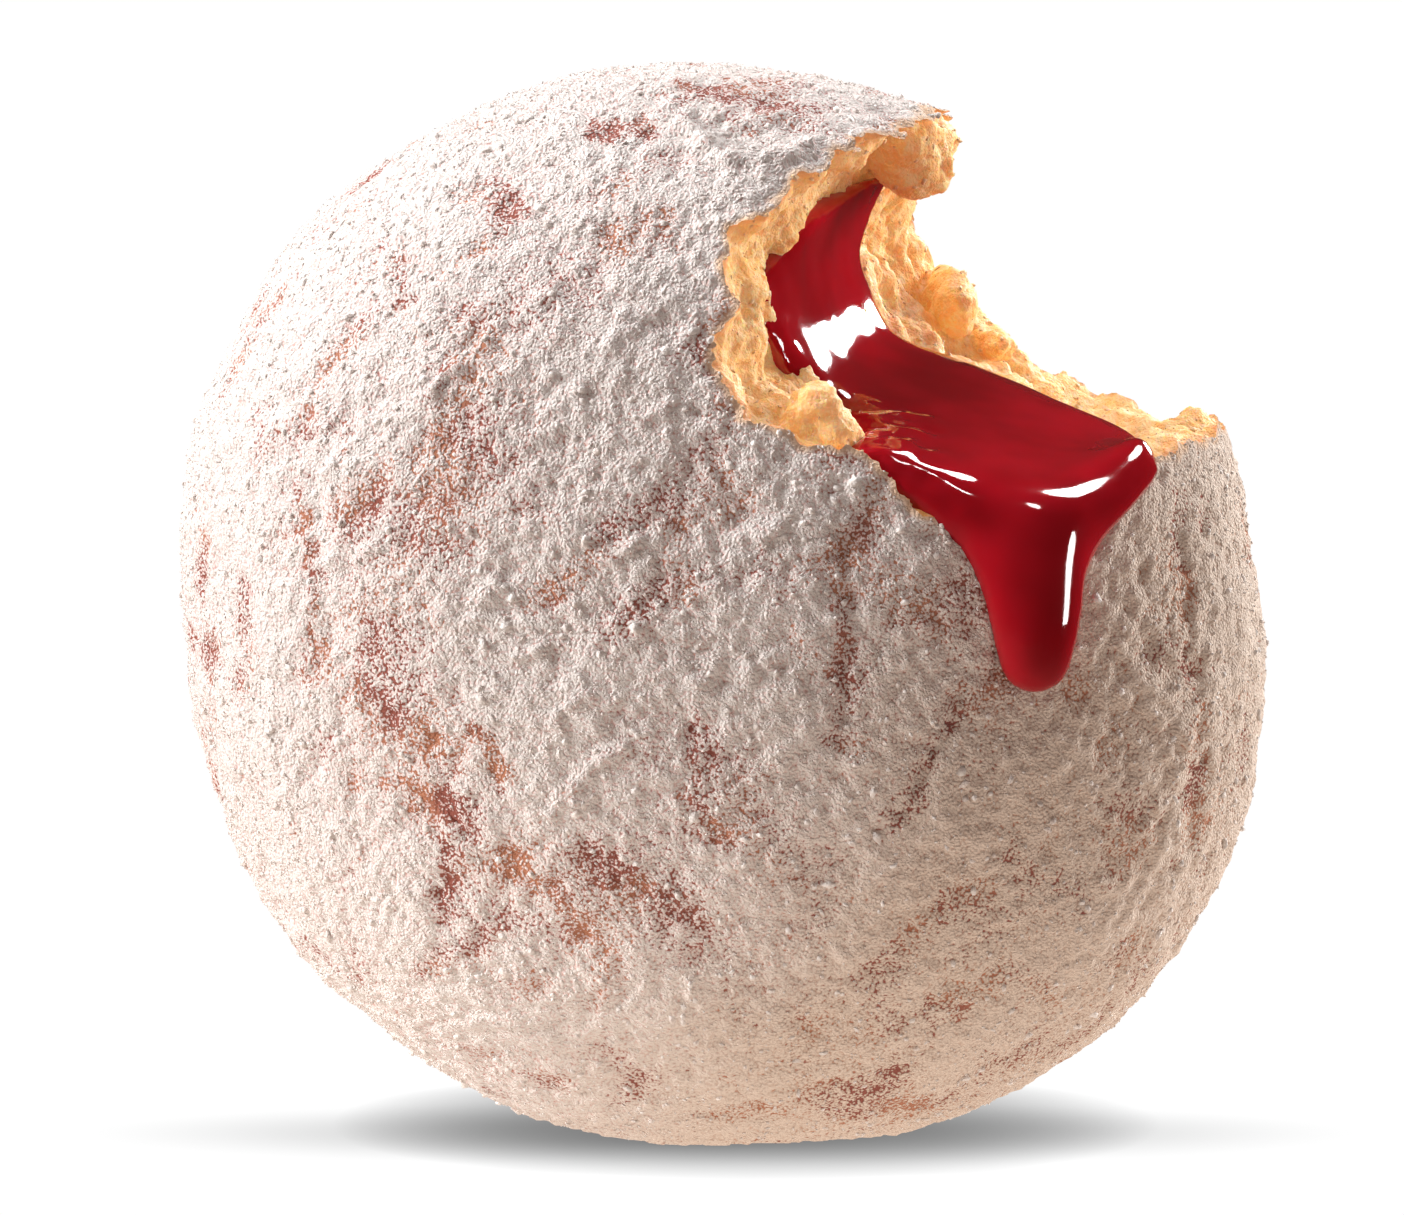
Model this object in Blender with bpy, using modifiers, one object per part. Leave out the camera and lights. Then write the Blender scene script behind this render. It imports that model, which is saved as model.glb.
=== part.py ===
"""A round jam doughnut with one bite taken out of it. Metres, +Z up, the front faces -Y.

The ball is a plump cushion: wide and tall as seen from the front, less deep, and flat where it rests.
The bite opens to the upper right and slopes towards the front, so its torn inside shows from there.
The jam is one solid: the filling in the middle, the run down the bite and the drip on the front.
All places are measured from the ball's middle, which BALL_MIDDLE puts over the origin.
"""

import math
from dataclasses import dataclass

import bmesh
import bpy
from mathutils import Euler, Matrix, Vector, noise

# The ball
BALL_MIDDLE = Vector((0.00015, -0.00013, 0.0420))
FRONT_RADIUS = 0.0440
HALF_DEPTH = 0.0335
CUSHION_POWER = 2.25
LEAN_SHARE = 0.016
LEAN_ANGLE = math.radians(135.0)
SQUARE_SHARE = 0.013
BELLY_SHARE = 0.024
BELLY_ANGLE = math.radians(-32.0)
BELLY_SPREAD = math.radians(28.0)
SWELL_HEIGHT = 0.0009
SWELL_LENGTH = 0.030
LUMP_HEIGHT = 0.00035
LUMP_LENGTH = 0.011
BALL_CUTS = 5

# The flat spot that it rests on
BASE_CUT_SIDE = 0.080
BASE_CUT_DEPTH = 0.020

# The bite. Its lobes are measured on two planes, one through each rim.
NEAR_PLANE_Y = -0.030
FAR_PLANE_Y = 0.025
LOBE_OVERRUN = 0.012
LOBE_SIDES = 28
BITE_GRAIN = 0.0018
CRAG_HEIGHT = 0.0042
CRAG_LENGTH = 0.0048
CHUNK_HEIGHT = 0.0010
CHUNK_LENGTH = 0.0030
BLOB_CUTS = 3

# The jam
JAM_GRAIN = 0.0010
JAM_SMOOTHING = 12
JAM_KEPT_SHARE = 0.24
JAM_STEPS = 7
TOUCH_GAP = 0.0003

DOUGH_COLOUR = (0.86, 0.78, 0.72, 1.0)
JAM_COLOUR = (0.27, 0.004, 0.012, 1.0)


@dataclass(frozen=True)
class Lobe:
    """One round bite mark: its middle and radius where it meets the near and the far rim plane."""

    near_x: float
    near_z: float
    near_radius: float
    far_x: float
    far_z: float
    far_radius: float


@dataclass(frozen=True)
class Blob:
    """An egg-shaped lump: its middle, half sizes, turn about Z and tip about X in degrees."""

    middle: tuple
    half: tuple
    turn: float = 0.0
    tip: float = 0.0


BITE_LOBES = (
    Lobe(0.0110, 0.0252, 0.0116, 0.0303, 0.0318, 0.0120),
    Lobe(0.0216, 0.0210, 0.0117, 0.0345, 0.0292, 0.0124),
    Lobe(0.0350, 0.0228, 0.0090, 0.0400, 0.0240, 0.0100),
    Lobe(0.0309, 0.0330, 0.0138, 0.0400, 0.0375, 0.0150),
    Lobe(0.0310, 0.0400, 0.0138, 0.0355, 0.0420, 0.0160),
)

# Crumb that was torn up and left standing at the bite's edge
CHUNKS = (
    Blob((0.0072, -0.0275, 0.0162), (0.0024, 0.0026, 0.0030), 20.0),
    Blob((0.0378, 0.0010, 0.0138), (0.0018, 0.0028, 0.0021), -15.0),
    Blob((0.0165, 0.0010, 0.0362), (0.0024, 0.0060, 0.0022), -10.0),
)

FILLING = (Blob((-0.001, 0.000, 0.014), (0.013, 0.012, 0.012)),
           Blob((0.006, -0.003, 0.022), (0.007, 0.012, 0.009), -18.0))
CURTAIN = (Blob((0.0134, 0.0025, 0.0336), (0.0016, 0.0034, 0.0018), -18.0),
           Blob((0.0080, -0.0050, 0.0298), (0.0028, 0.0085, 0.0038), -18.0),
           Blob((0.0054, -0.0095, 0.0248), (0.0038, 0.0120, 0.0050), -18.0),
           Blob((0.0100, -0.0070, 0.0180), (0.0060, 0.0120, 0.0045), -14.0, 8.0))
POOL = (Blob((0.0100, -0.0070, 0.0180), (0.0060, 0.0120, 0.0045), -14.0, 8.0),
        Blob((0.0200, -0.0090, 0.0135), (0.0075, 0.0170, 0.0042), -6.0, 9.0),
        Blob((0.0290, -0.0110, 0.0115), (0.0050, 0.0120, 0.0036), 0.0, 9.0))
SPILL = (Blob((0.0215, -0.0190, 0.0115), (0.0085, 0.0080, 0.0040), 0.0, 16.0),
         Blob((0.0225, -0.0280, 0.0085), (0.0066, 0.0040, 0.0036), 12.0, 40.0),
         Blob((0.0231, -0.0300, 0.0050), (0.0044, 0.0026, 0.0036), 14.0),
         Blob((0.0234, -0.0302, 0.0010), (0.0037, 0.0024, 0.0030), 14.0),
         Blob((0.0234, -0.0300, -0.0018), (0.0030, 0.0022, 0.0029), 14.0))


def clear_scene():
    """Removes every object that the file starts with."""
    for obj in list(bpy.data.objects):
        bpy.data.objects.remove(obj)


def new_collection(name):
    """A collection of that name, in the scene."""
    made = bpy.data.collections.new(name)
    bpy.context.scene.collection.children.link(made)
    return made


def new_material(name, colour, roughness):
    """A plain material of one colour."""
    material = bpy.data.materials.new(name)
    material.use_nodes = True
    shader = material.node_tree.nodes["Principled BSDF"]
    shader.inputs["Base Color"].default_value = colour
    shader.inputs["Roughness"].default_value = roughness
    shader.inputs["Metallic"].default_value = 0.0
    return material


def object_from(shape, name, collection):
    """An object at the ball's middle that holds the bmesh's shape."""
    mesh = bpy.data.meshes.new(name)
    shape.to_mesh(mesh)
    shape.free()
    obj = bpy.data.objects.new(name, mesh)
    obj.location = BALL_MIDDLE
    collection.objects.link(obj)
    return obj


def make_helper(obj):
    """Keeps a cutter out of renders and draws it as wires."""
    obj.hide_render = True
    obj.display_type = "WIRE"


def outline_radius(angle):
    """The ball's radius as seen from the front, at an angle from +X towards +Z."""
    lean = LEAN_SHARE * math.cos(2.0 * (angle - LEAN_ANGLE))
    square = -SQUARE_SHARE * math.cos(4.0 * angle)
    off_belly = math.remainder(angle - BELLY_ANGLE, 2.0 * math.pi) / BELLY_SPREAD
    belly = BELLY_SHARE * math.exp(-off_belly * off_belly)
    return FRONT_RADIUS * (1.0 + lean + square + belly)


def skin_distance(direction):
    """How far the ball's skin lies from its middle along a unit direction."""
    across = math.hypot(direction.x, direction.z)
    outline = outline_radius(math.atan2(direction.z, direction.x))
    share = (across / outline) ** CUSHION_POWER + (abs(direction.y) / HALF_DEPTH) ** CUSHION_POWER
    smooth = share ** (-1.0 / CUSHION_POWER)
    place = direction * smooth
    swell = SWELL_HEIGHT * noise.noise(place / SWELL_LENGTH)
    lump = LUMP_HEIGHT * noise.noise(place / LUMP_LENGTH)
    return smooth + swell + lump


def make_ball(collection):
    """The whole ball before anything is cut from it."""
    shape = bmesh.new()
    bmesh.ops.create_icosphere(shape, subdivisions=BALL_CUTS, radius=1.0)
    for vertex in shape.verts:
        direction = vertex.co.normalized()
        vertex.co = direction * skin_distance(direction)
    return object_from(shape, "dough", collection)


def make_base_cutter(collection):
    """A block under the floor that gives the ball its flat spot."""
    shape = bmesh.new()
    bmesh.ops.create_cube(shape, size=1.0)
    bmesh.ops.scale(shape, vec=(BASE_CUT_SIDE, BASE_CUT_SIDE, BASE_CUT_DEPTH), verts=shape.verts)
    floor_height = -BALL_MIDDLE.z
    bmesh.ops.translate(shape, vec=(0.0, 0.0, floor_height - BASE_CUT_DEPTH / 2.0), verts=shape.verts)
    cutter = object_from(shape, "base_cutter", collection)
    make_helper(cutter)
    return cutter


def add_lobe(shape, lobe):
    """Adds one bite mark to the shape, a tapered round bar that runs out past both rims."""
    near = Vector((lobe.near_x, NEAR_PLANE_Y, lobe.near_z))
    far = Vector((lobe.far_x, FAR_PLANE_Y, lobe.far_z))
    along = (far - near).normalized()
    run = (far - near).length
    growth = (lobe.far_radius - lobe.near_radius) / run
    length = run + 2.0 * LOBE_OVERRUN
    turned = along.to_track_quat("Z", "Y").to_matrix().to_4x4()
    bmesh.ops.create_cone(
        shape,
        cap_ends=True,
        segments=LOBE_SIDES,
        radius1=lobe.near_radius - growth * LOBE_OVERRUN,
        radius2=lobe.far_radius + growth * LOBE_OVERRUN,
        depth=length,
        matrix=Matrix.Translation((near + far) / 2.0) @ turned,
    )


def make_bite_cutter(collection):
    """All bite marks as one closed shape with a torn, craggy skin."""
    shape = bmesh.new()
    for lobe in BITE_LOBES:
        add_lobe(shape, lobe)
    cutter = object_from(shape, "bite_cutter", collection)
    joined = cutter.modifiers.new("joined", "REMESH")
    joined.mode = "VOXEL"
    joined.voxel_size = BITE_GRAIN
    crags = bpy.data.textures.new("crags", "CLOUDS")
    crags.noise_scale = CRAG_LENGTH
    crags.noise_depth = 1
    torn = cutter.modifiers.new("torn", "DISPLACE")
    torn.texture = crags
    torn.texture_coords = "LOCAL"
    torn.strength = CRAG_HEIGHT
    torn.mid_level = 0.5
    make_helper(cutter)
    return cutter


def add_blob(shape, blob):
    """Adds one egg-shaped lump to the shape and returns its vertices."""
    turned = Euler((math.radians(blob.tip), 0.0, math.radians(blob.turn))).to_matrix().to_4x4()
    placed = Matrix.Translation(Vector(blob.middle)) @ turned @ Matrix.Diagonal((*blob.half, 1.0))
    made = bmesh.ops.create_icosphere(shape, subdivisions=BLOB_CUTS, radius=1.0, matrix=placed)
    return made["verts"]


def make_chunks(collection):
    """The torn lumps of crumb, each one uneven."""
    shape = bmesh.new()
    for chunk in CHUNKS:
        for vertex in add_blob(shape, chunk):
            outward = (vertex.co - Vector(chunk.middle)).normalized()
            vertex.co += outward * CHUNK_HEIGHT * noise.noise(vertex.co / CHUNK_LENGTH)
    chunks = object_from(shape, "crumb_chunks", collection)
    make_helper(chunks)
    return chunks


def blend(first, second, share):
    """The number or tuple that lies that share of the way from first to second."""
    if isinstance(first, tuple):
        return tuple(blend(a, b, share) for a, b in zip(first, second))
    return first + (second - first) * share


def add_run(shape, stations):
    """Adds a run of jam: lumps spaced evenly from each station to the next."""
    for first, second in zip(stations, stations[1:]):
        for step in range(JAM_STEPS + 1):
            share = step / JAM_STEPS
            add_blob(shape, Blob(
                blend(first.middle, second.middle, share),
                blend(first.half, second.half, share),
                blend(first.turn, second.turn, share),
                blend(first.tip, second.tip, share),
            ))


def make_jam(name, collection):
    """The filling with its run and drip, smoothed into one flowing solid."""
    shape = bmesh.new()
    for run in (FILLING, CURTAIN, POOL, SPILL):
        add_run(shape, run)
    jam = object_from(shape, name, collection)
    joined = jam.modifiers.new("joined", "REMESH")
    joined.mode = "VOXEL"
    joined.voxel_size = JAM_GRAIN
    flowed = jam.modifiers.new("flowed", "SMOOTH")
    flowed.factor = 0.5
    flowed.iterations = JAM_SMOOTHING
    lighter = jam.modifiers.new("lighter", "DECIMATE")
    lighter.ratio = JAM_KEPT_SHARE
    return jam


def make_jam_cutter(collection):
    """The jam grown by the gap that touching solids keep."""
    cutter = make_jam("jam_cutter", collection)
    grown = cutter.modifiers.new("grown", "DISPLACE")
    grown.strength = TOUCH_GAP
    grown.mid_level = 0.0
    make_helper(cutter)
    return cutter


def combine(obj, helper, operation):
    """Adds the helper's shape to the object (UNION) or takes it away (DIFFERENCE)."""
    combined = obj.modifiers.new(helper.name, "BOOLEAN")
    combined.operation = operation
    combined.solver = "EXACT"
    combined.object = helper


def main():
    """Builds the doughnut."""
    clear_scene()
    parts = new_collection("doughnut")
    cutters = new_collection("cutters")
    dough = make_ball(parts)
    combine(dough, make_base_cutter(cutters), "DIFFERENCE")
    combine(dough, make_bite_cutter(cutters), "DIFFERENCE")
    combine(dough, make_chunks(cutters), "UNION")
    combine(dough, make_jam_cutter(cutters), "DIFFERENCE")
    dough.data.materials.append(new_material("sugared_dough", DOUGH_COLOUR, 0.9))
    jam = make_jam("jam", parts)
    jam.data.materials.append(new_material("jam", JAM_COLOUR, 0.1))
    for obj in (dough, jam):
        obj.data.shade_smooth()


main()
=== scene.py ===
"""The looks of a round jam doughnut with one bite taken out of it. Metres, +Z up, the front faces -Y.

The crust is a fried ball under a thick, clumpy coat of icing sugar. Its two halves meet round the middle.
The bite shows a torn, bready crumb. Jam fills the middle, lies in the bite and drips down the front.
Sugar lumps, sugar grains and crumbs are small solid bits that lie on those surfaces.
Places on the doughnut are measured from the ball's middle, as in the solids.
"""

import logging
import math
from dataclasses import dataclass, field
from enum import Enum
from itertools import product

import bmesh
import bpy
import numpy as np
from bpy.types import ID, Material, Mesh, Node, NodeSocket, NodeTree, Object
from mathutils import Euler, Matrix, Vector, kdtree, noise


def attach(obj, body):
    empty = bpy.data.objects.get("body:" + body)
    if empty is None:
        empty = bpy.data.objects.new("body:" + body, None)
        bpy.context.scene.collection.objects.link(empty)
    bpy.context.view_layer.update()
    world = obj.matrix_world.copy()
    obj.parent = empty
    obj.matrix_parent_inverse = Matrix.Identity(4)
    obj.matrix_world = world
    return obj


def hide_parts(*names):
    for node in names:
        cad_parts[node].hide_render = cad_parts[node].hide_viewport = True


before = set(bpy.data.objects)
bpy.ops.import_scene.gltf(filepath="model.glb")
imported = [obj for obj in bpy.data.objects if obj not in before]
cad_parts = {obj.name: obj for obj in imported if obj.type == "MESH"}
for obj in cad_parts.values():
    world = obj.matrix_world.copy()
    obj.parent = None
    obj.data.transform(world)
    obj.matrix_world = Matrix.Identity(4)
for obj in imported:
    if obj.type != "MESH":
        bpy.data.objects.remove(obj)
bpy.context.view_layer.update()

log = logging.getLogger("doughnut")

# The ball's middle, as in the solids, and how often a lump's skin is cut finer.
MIDDLE = np.array((0.00015, -0.00013, 0.0420))
LUMP_CUTS = 4
MM = 0.001

Span = tuple[float, float]
Way = tuple[tuple[float, float, float], ...]
Colour = tuple[float, float, float, float]


# Noise in space


class SolidNoise:
    """Repeatable noise that fills space, the same on every run for the same seed."""

    def __init__(self, seed: int) -> None:
        """Draws the noise's tables.

        Args:
            seed: the number that the tables are drawn from.
        """
        draw = np.random.default_rng(seed)
        self.order = draw.permutation(256)
        slopes = draw.normal(size=(256, 3))
        self.slopes = slopes / np.linalg.norm(slopes, axis=1, keepdims=True)
        self.seeds = draw.random((256, 3))

    def pick(self, cells: np.ndarray) -> np.ndarray:
        """A number from 0 to 255 for each cell of space.

        Args:
            cells: whole-number cell places, one row each.

        Returns:
            The numbers from the table.
        """
        first = self.order[cells[:, 0] & 255]
        second = self.order[(first + cells[:, 1]) & 255]
        return self.order[(second + cells[:, 2]) & 255]

    def smooth(self, points: np.ndarray, length: float) -> np.ndarray:
        """Soft noise without a preferred direction.

        Args:
            points: places in metres, one row each.
            length: the size of its humps.

        Returns:
            About -1 to 1 for each place.
        """
        scaled = points / length
        base = np.floor(scaled).astype(int)
        inside = scaled - base
        fade = inside**3 * (inside * (inside * 6.0 - 15.0) + 10.0)
        total = np.zeros(len(points))
        for corner in product((0, 1), repeat=3):
            slopes = self.slopes[self.pick(base + corner)]
            value = np.einsum("ij,ij->i", slopes, inside - corner)
            total += value * np.where(corner, fade, 1.0 - fade).prod(axis=1)
        return total * 1.7

    def cells(self, points: np.ndarray, length: float) -> tuple[np.ndarray, np.ndarray]:
        """Distances to the nearest two of many scattered seeds.

        Args:
            points: places in metres, one row each.
            length: how far apart the seeds lie.

        Returns:
            The distance to the nearest and to the second nearest seed, as shares of the length.
        """
        scaled = points / length
        base = np.floor(scaled).astype(int)
        nearest = np.full(len(points), 9.0)
        second = np.full(len(points), 9.0)
        for step in product((-1, 0, 1), repeat=3):
            seeds = base + step + self.seeds[self.pick(base + step)]
            far = np.linalg.norm(scaled - seeds, axis=1)
            second = np.minimum(second, np.maximum(nearest, far))
            nearest = np.minimum(nearest, far)
        return nearest, second


class Kind(Enum):
    """How a layer of relief is shaped."""

    HUMPS = "humps"
    CLODS = "clods"
    RIDGES = "ridges"
    PORES = "pores"


@dataclass(frozen=True)
class Layer:
    """One layer of relief: its kind, height and length, and how far it is drawn out along a grain."""

    kind: Kind
    height: float
    length: float
    seed: int
    drawn_out: float = 1.0
    grain_angle: float = 0.0

    def heights(self, points: np.ndarray) -> np.ndarray:
        """The layer's height at each place.

        Args:
            points: places in metres, one row each.

        Returns:
            Heights in metres, up and down from about zero.
        """
        source = SolidNoise(self.seed)
        places = self.along_grain(points)
        if self.kind is Kind.HUMPS:
            return self.height * source.smooth(places, self.length)
        if self.kind is Kind.RIDGES:
            return self.height * (0.6 - 2.0 * np.abs(source.smooth(places, self.length)))
        nearest, second = source.cells(places, self.length)
        if self.kind is Kind.CLODS:
            return self.height * (0.75 - 1.5 * nearest**2)
        return self.height * (np.minimum(second - nearest, 0.6) * -1.6 + 0.4)

    def along_grain(self, points: np.ndarray) -> np.ndarray:
        """Squeezes space along the grain, which draws the relief out along it.

        Args:
            points: places in metres, one row each.

        Returns:
            The squeezed places.
        """
        if self.drawn_out == 1.0:
            return points
        grain = np.array((math.cos(self.grain_angle), 0.0, math.sin(self.grain_angle)))
        along = points @ grain
        return points - np.outer(along * (1.0 - 1.0 / self.drawn_out), grain)


def relief(layers: tuple[Layer, ...], points: np.ndarray) -> np.ndarray:
    """The heights of several layers together, in metres, one for each place."""
    return sum(layer.heights(points) for layer in layers)


def soft_step(values: np.ndarray, low: float, high: float) -> np.ndarray:
    """A share for each number, which goes softly from 0 at low to 1 at high."""
    share = np.clip((values - low) / (high - low), 0.0, 1.0)
    return share * share * (3.0 - 2.0 * share)


# Meshes


def mesh_from(name: str, points: np.ndarray, faces: np.ndarray) -> Mesh:
    """A smooth-shaded mesh.

    Args:
        name: its name.
        points: its vertices, one row each.
        faces: the vertices of each face, one row each.

    Returns:
        The mesh.
    """
    mesh = bpy.data.meshes.new(name)
    mesh.from_pydata(points.tolist(), [], faces.tolist())
    mesh.shade_smooth()
    return mesh


def show(name: str, data: ID) -> Object:
    """Puts a mesh, a lamp or a camera into the scene.

    Args:
        name: the object's name.
        data: what it holds.

    Returns:
        The object, at the origin.
    """
    made = bpy.data.objects.new(name, data)
    bpy.context.scene.collection.objects.link(made)
    return made


def read(items: bpy.types.bpy_prop_array, name: str, kind: type, width: int) -> np.ndarray:
    """Reads numbers from each vertex, normal, face or triangle of a mesh.

    Args:
        items: the vertices, normals, faces or triangles.
        name: what the numbers are called there.
        kind: float or whole number.
        width: how many numbers each has.

    Returns:
        The numbers, one row for each.
    """
    numbers = np.empty(len(items) * width, dtype=kind)
    items.foreach_get(name, numbers)
    return numbers.reshape(-1, width)


def places_of(mesh: Mesh) -> np.ndarray:
    """The vertices' places, one row each."""
    return read(mesh.vertices, "co", np.float32, 3).astype(float)


def normals_of(mesh: Mesh) -> np.ndarray:
    """The vertices' normals, one row each."""
    return read(mesh.vertex_normals, "vector", np.float32, 3).astype(float)


def move_to(mesh: Mesh, places: np.ndarray) -> None:
    """Moves every vertex to its new place."""
    mesh.vertices.foreach_set("co", places.astype(np.float32).ravel())
    mesh.update()


def triangles_of(mesh: Mesh) -> tuple[np.ndarray, np.ndarray]:
    """A mesh as triangles.

    Args:
        mesh: the mesh.

    Returns:
        The vertices of each triangle, and each triangle's material slot.
    """
    mesh.calc_loop_triangles()
    corners = read(mesh.loop_triangles, "vertices", np.int32, 3)
    faces = read(mesh.loop_triangles, "polygon_index", np.int32, 1).ravel()
    slots = read(mesh.polygons, "material_index", np.int32, 1).ravel()
    return corners, slots[faces]


def part_of(name: str, places: np.ndarray, triangles: np.ndarray) -> Mesh:
    """A mesh of some triangles, without the vertices that they don't use."""
    used, renumbered = np.unique(triangles, return_inverse=True)
    return mesh_from(name, places[used], renumbered.reshape(-1, 3))


def set_value(mesh: Mesh, name: str, values: np.ndarray) -> None:
    """Keeps a number for each vertex under a name, for the materials."""
    made = mesh.attributes.new(name, "FLOAT", "POINT")
    made.data.foreach_set("value", values.astype(np.float32))


def settle(obj: Object) -> None:
    """Applies the object's modifiers to its mesh."""
    ready = obj.evaluated_get(bpy.context.evaluated_depsgraph_get())
    mesh = bpy.data.meshes.new_from_object(ready)
    obj.modifiers.clear()
    obj.data = mesh


def carve(obj: Object, helper: Object) -> None:
    """Takes a helper's shape away from an object, and removes the helper.

    Args:
        obj: the object that changes.
        helper: the shape to take away.
    """
    step = obj.modifiers.new("carve", "BOOLEAN")
    step.operation = "DIFFERENCE"
    step.solver = "MANIFOLD"
    step.object = helper
    settle(obj)
    bpy.data.objects.remove(helper)


def voxel_remesh(obj: Object, grain: float) -> None:
    """Turns overlapping closed shapes into one even skin.

    Args:
        obj: the object that holds the shapes.
        grain: the size of the new faces.
    """
    step = obj.modifiers.new("even", "REMESH")
    step.mode = "VOXEL"
    step.voxel_size = grain
    settle(obj)


def soften(obj: Object, times: int, shares: np.ndarray | None = None) -> None:
    """Rounds a shape, as a thick liquid does by itself.

    Args:
        obj: the shape.
        times: how often it is smoothed.
        shares: how strongly at each vertex, or everywhere alike.
    """
    step = obj.modifiers.new("flowed", "SMOOTH")
    step.factor = 0.5
    step.iterations = times
    if shares is not None:
        group = obj.vertex_groups.new(name="flowed")
        for number in np.flatnonzero(shares > 0.01):
            group.add([int(number)], float(shares[number]), "REPLACE")
        step.vertex_group = group.name
    settle(obj)


# The shapes that the crust, the crumb and the jam share with the solids


@dataclass(frozen=True)
class Ball:
    """The whole ball: a plump cushion with a flat spot to rest on."""

    front_radius: float = 0.0440
    half_depth: float = 0.0335
    cushion_power: float = 2.25
    lean_share: float = 0.016
    lean_angle: float = math.radians(135.0)
    square_share: float = 0.013
    belly_share: float = 0.024
    belly_angle: float = math.radians(-32.0)
    belly_spread: float = math.radians(28.0)
    swell_height: float = 0.0009
    swell_length: float = 0.030
    lump_height: float = 0.00035
    lump_length: float = 0.011

    def outline(self, angles: np.ndarray) -> np.ndarray:
        """The ball's radius as seen from the front.

        Args:
            angles: angles from +X towards +Z.

        Returns:
            A radius for each angle.
        """
        lean = self.lean_share * np.cos(2.0 * (angles - self.lean_angle))
        square = -self.square_share * np.cos(4.0 * angles)
        turned = np.remainder(angles - self.belly_angle + math.pi, 2.0 * math.pi) - math.pi
        belly = self.belly_share * np.exp(-((turned / self.belly_spread) ** 2))
        return self.front_radius * (1.0 + lean + square + belly)

    def skin(self, directions: np.ndarray) -> np.ndarray:
        """How far the smooth skin lies from the middle.

        Args:
            directions: unit directions, one row each.

        Returns:
            A distance for each direction.
        """
        across = np.hypot(directions[:, 0], directions[:, 2])
        outline = self.outline(np.arctan2(directions[:, 2], directions[:, 0]))
        wide = (across / outline) ** self.cushion_power
        deep = (np.abs(directions[:, 1]) / self.half_depth) ** self.cushion_power
        smooth = (wide + deep) ** (-1.0 / self.cushion_power)
        places = directions * smooth[:, None]
        swell = np.array([noise.noise(place) for place in places / self.swell_length])
        lump = np.array([noise.noise(place) for place in places / self.lump_length])
        return smooth + self.swell_height * swell + self.lump_height * lump

    def depth(self, places: np.ndarray) -> np.ndarray:
        """How far places lie below the skin, less than zero outside the ball."""
        far = np.linalg.norm(places, axis=1)
        return self.skin(places / far[:, None]) - far


@dataclass(frozen=True)
class Lobe:
    """One round bite mark: its middle and radius where it meets the near and the far rim plane."""

    near_x: float
    near_z: float
    near_radius: float
    far_x: float
    far_z: float
    far_radius: float


@dataclass(frozen=True)
class Bite:
    """The bite's round marks, each a cone that runs from the near to the far rim plane and beyond."""

    near_plane_y: float = -0.030
    far_plane_y: float = 0.025
    overrun: float = 0.012
    sides: int = 96
    lobes: tuple[Lobe, ...] = (
        Lobe(0.0110, 0.0252, 0.0116, 0.0303, 0.0318, 0.0120),
        Lobe(0.0216, 0.0210, 0.0117, 0.0345, 0.0292, 0.0124),
        Lobe(0.0350, 0.0228, 0.0090, 0.0400, 0.0240, 0.0100),
        Lobe(0.0309, 0.0330, 0.0138, 0.0400, 0.0375, 0.0150),
        Lobe(0.0310, 0.0400, 0.0138, 0.0355, 0.0420, 0.0160),
    )

    def cones(self, shrink: float = 0.0) -> Object:
        """The marks' cones as one object.

        Args:
            shrink: how much smaller their radii are made.

        Returns:
            The object, around the ball's middle.
        """
        shape = bmesh.new()
        for lobe in self.lobes:
            near = Vector((lobe.near_x, self.near_plane_y, lobe.near_z))
            far = Vector((lobe.far_x, self.far_plane_y, lobe.far_z))
            run = (far - near).length
            growth = (lobe.far_radius - lobe.near_radius) / run
            turned = (far - near).normalized().to_track_quat("Z", "Y").to_matrix().to_4x4()
            bmesh.ops.create_cone(
                shape,
                cap_ends=True,
                segments=self.sides,
                radius1=lobe.near_radius - growth * self.overrun - shrink,
                radius2=lobe.far_radius + growth * self.overrun - shrink,
                depth=run + 2.0 * self.overrun,
                matrix=Matrix.Translation((near + far) / 2.0) @ turned,
            )
        mesh = bpy.data.meshes.new("bite")
        shape.to_mesh(mesh)
        shape.free()
        return show("bite", mesh)


@dataclass(frozen=True)
class Blob:
    """An egg-shaped lump: its middle, half sizes, turn about Z and tip about X in degrees."""

    middle: tuple[float, float, float]
    half: tuple[float, float, float]
    turn: float = 0.0
    tip: float = 0.0

    def place(self, corners: np.ndarray) -> np.ndarray:
        """Moves the corners of a ball of radius 1 to where the lump has them."""
        turned = Euler((math.radians(self.tip), 0.0, math.radians(self.turn))).to_matrix()
        return corners * np.array(self.half) @ np.array(turned).T + np.array(self.middle)

    def towards(self, other: "Blob", share: float) -> "Blob":
        """The lump that lies a share of the way to another.

        Args:
            other: the lump at the far end.
            share: 0 for this lump and 1 for the other.

        Returns:
            The lump between them.
        """
        middle = tuple(a + (b - a) * share for a, b in zip(self.middle, other.middle))
        half = tuple(a + (b - a) * share for a, b in zip(self.half, other.half))
        turn = self.turn + (other.turn - self.turn) * share
        return Blob(middle, half, turn, self.tip + (other.tip - self.tip) * share)


def blobs(*rows: tuple[float, ...]) -> tuple[Blob, ...]:
    """Lumps from rows of numbers.

    Args:
        rows: each lump's middle and half sizes in mm, and then its turn and tip in degrees.

    Returns:
        The lumps.
    """
    made = []
    for row in rows:
        sizes = [number / 1000.0 for number in row[:6]]
        made.append(Blob(tuple(sizes[:3]), tuple(sizes[3:]), *row[6:]))
    return tuple(made)


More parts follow.
